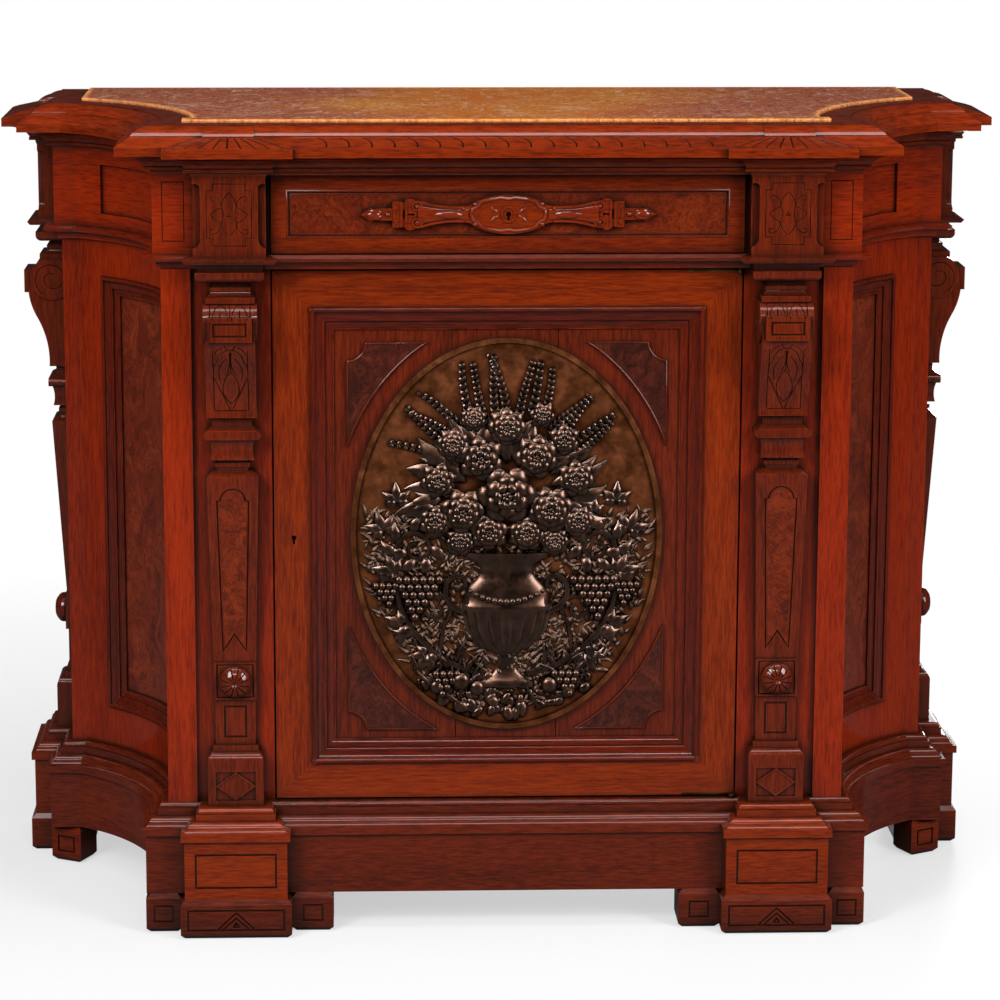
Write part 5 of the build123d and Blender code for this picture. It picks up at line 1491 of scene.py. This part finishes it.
def ground():
    shape = bmesh.new()
    for _ in range(GROUND_BITS):
        u = draw.uniform(-150, 150)
        w = draw.uniform(-262, -196)
        if inside(u, w, 0.97):
            size = draw.uniform(6, 15) * (1.1 - 0.4 * (w + 262) / 66)
            knob(shape, on_field(u, w, 0.5), size, 0.5, 2, draw.uniform(0, 3), draw.uniform(0.45, 0.8))
    for _ in range(GROUND_BITS):
        u = draw.uniform(-165, 165)
        w = draw.uniform(-246, -170) - 0.1 * abs(u)
        if abs(u) > 48:
            field_leaf(shape, (u, w), math.radians(90 + draw.uniform(-60, 60)), draw.uniform(20, 46),
                       draw.uniform(1.8, 3.6), draw.uniform(-1.2, 1.2), 2.5, 4.5, 0.5)
    for u, w, radius in ((-62, -206, 13), (-40, -216, 11), (60, -212, 12), (86, -222, 10), (-96, -214, 10)):
        knob(shape, on_field(u, w, 5.0), radius, 0.6, 3)
    return finish_piece(shape, "relief_ground", bronze, "door", "bronze")


scrolls()
ground()

# %% [markdown]
# ## Studio
# The photograph has a white ground, soft light from both sides and a faint shadow
# under the plinth. Polished wood mirrors what stands round it, so a white room would
# wash its colour out: only the camera sees the world and the floor as white, and the
# polish sees a dim room with four large soft boxes in it, and a narrow strip that
# draws a thin bright line along every moulding. The box behind the cabinet only serves
# views of its back.

# %% Floor, world and lamps
FLOOR_SIZE = 30.0
NEAR, FAR = 0.8, 2.0
WHITE = colour(1.0, 1.0, 1.0)
FLOOR_IN_POLISH, FLOOR_TO_CAMERA = 0.1, 0.66
ROOM_LIGHT, POLISH_DIMMED = 0.24, -0.22


def studio_floor():
    shape = bmesh.new()
    bmesh.ops.create_grid(shape, x_segments=1, y_segments=1, size=FLOOR_SIZE / 2)
    mesh = bpy.data.meshes.new("floor")
    shape.to_mesh(mesh)
    shape.free()
    floor = bpy.data.objects.new("floor", mesh)
    bpy.context.scene.collection.objects.link(floor)
    made, tree, shader, where = start_material("Pale floor")
    shader.inputs["Roughness"].default_value = 0.45
    shader.inputs["Specular IOR Level"].default_value = 0.25
    x, y = axes(tree, where)[:2]
    flat = put(tree, "ShaderNodeCombineXYZ", {0: x, 1: y}).outputs[0]
    away = put(tree, "ShaderNodeVectorMath", {0: flat}, operation="LENGTH").outputs["Value"]
    seen = put(tree, "ShaderNodeLightPath").outputs["Is Camera Ray"]
    pale = spread(tree, seen, 0.0, 1.0, FLOOR_IN_POLISH, FLOOR_TO_CAMERA)
    pale = put(tree, "ShaderNodeCombineColor", {0: pale, 1: pale, 2: pale}).outputs[0]
    tree.links.new(pale, shader.inputs["Base Color"])
    share = sum_up(tree, "MULTIPLY", spread(tree, away, NEAR, FAR, 0.55, 1.0), seen)
    glow = put(tree, "ShaderNodeEmission", {"Color": WHITE, "Strength": 1.0}).outputs[0]
    mixed = put(tree, "ShaderNodeMixShader", {0: share, 1: shader.outputs[0], 2: glow})
    tree.links.new(mixed.outputs[0], tree.nodes["Material Output"].inputs["Surface"])
    mesh.materials.append(made)


def studio_world():
    world = bpy.data.worlds.new("Studio")
    bpy.context.scene.world = world
    world.use_nodes = True
    tree = world.node_tree
    light = tree.nodes["Background"]
    paths = put(tree, "ShaderNodeLightPath").outputs
    strength = sum_up(tree, "MULTIPLY", paths["Is Glossy Ray"], POLISH_DIMMED)
    strength = sum_up(tree, "ADD", strength, ROOM_LIGHT)
    tree.links.new(strength, light.inputs["Strength"])
    light.inputs["Color"].default_value = WHITE
    white = put(tree, "ShaderNodeBackground", {"Color": WHITE, "Strength": 1.0}).outputs[0]
    mixed = put(tree, "ShaderNodeMixShader", {0: paths["Is Camera Ray"], 1: light.outputs[0], 2: white})
    tree.links.new(mixed.outputs[0], tree.nodes["World Output"].inputs["Surface"])


def soft_box(name, place, aim, size, power):
    lamp = bpy.data.lights.new(name, "AREA")
    lamp.shape = "RECTANGLE"
    lamp.size, lamp.size_y = size
    lamp.energy = power
    made = bpy.data.objects.new(name, lamp)
    bpy.context.scene.collection.objects.link(made)
    made.location = place
    made.rotation_mode = "QUATERNION"
    made.rotation_quaternion = (Vector(aim) - Vector(place)).to_track_quat("-Z", "Y")


studio_floor()
studio_world()
soft_box("key", (-2.0, -2.6, 2.4), (0.0, 0.0, 0.55), (1.2, 1.7), 116.0)
soft_box("fill", (2.3, -2.3, 1.9), (0.0, 0.0, 0.55), (1.1, 1.9), 92.0)
soft_box("over", (0.0, -0.6, 3.0), (0.0, 0.0, 1.0), (2.4, 1.0), 40.0)
soft_box("back", (0.7, 2.7, 0.5), (0.0, 0.4, 0.5), (1.6, 0.7), 36.0)
soft_box("strip", (-0.2, -3.0, 3.0), (0.0, 0.0, 0.6), (1.9, 0.2), 26.0)
print("lamps:", ", ".join(lamp.name for lamp in bpy.data.lights))

# %% [markdown]
# ## Camera
# The photograph was taken from head height, a little to the left of the door, with a
# long lens. The values below were fitted so that the corners of the CAD part fall
# where the photograph shows them.

# %% The camera
EYE = Vector((-0.1931, -4.5322, 1.5914))
TURN, TIP, ROLL = 0.0328, 0.1869, 0.0021
FOCUS_SHARE = 3.2565
SENSOR = 36.0


def studio_camera():
    data = bpy.data.cameras.new("camera")
    camera = bpy.data.objects.new("camera", data)
    bpy.context.scene.collection.objects.link(camera)
    ahead = Vector((math.sin(TURN) * math.cos(TIP), math.cos(TURN) * math.cos(TIP), -math.sin(TIP)))
    right = Vector((math.cos(TURN), -math.sin(TURN), 0.0))
    up = right.cross(ahead)
    tilt = Matrix((right, up, -ahead)).transposed() @ Matrix.Rotation(ROLL, 3, "Z")
    camera.rotation_mode = "QUATERNION"
    camera.rotation_quaternion = tilt.to_quaternion()
    camera.location = EYE
    data.sensor_width = SENSOR
    data.lens = SENSOR * FOCUS_SHARE
    data.shift_x, data.shift_y = 0.03, -0.12
    bpy.context.scene.camera = camera


studio_camera()
bpy.context.scene.view_settings.view_transform = "Standard"
print(f"camera {EYE.length:.2f} m from the origin, lens {SENSOR * FOCUS_SHARE:.1f} mm")
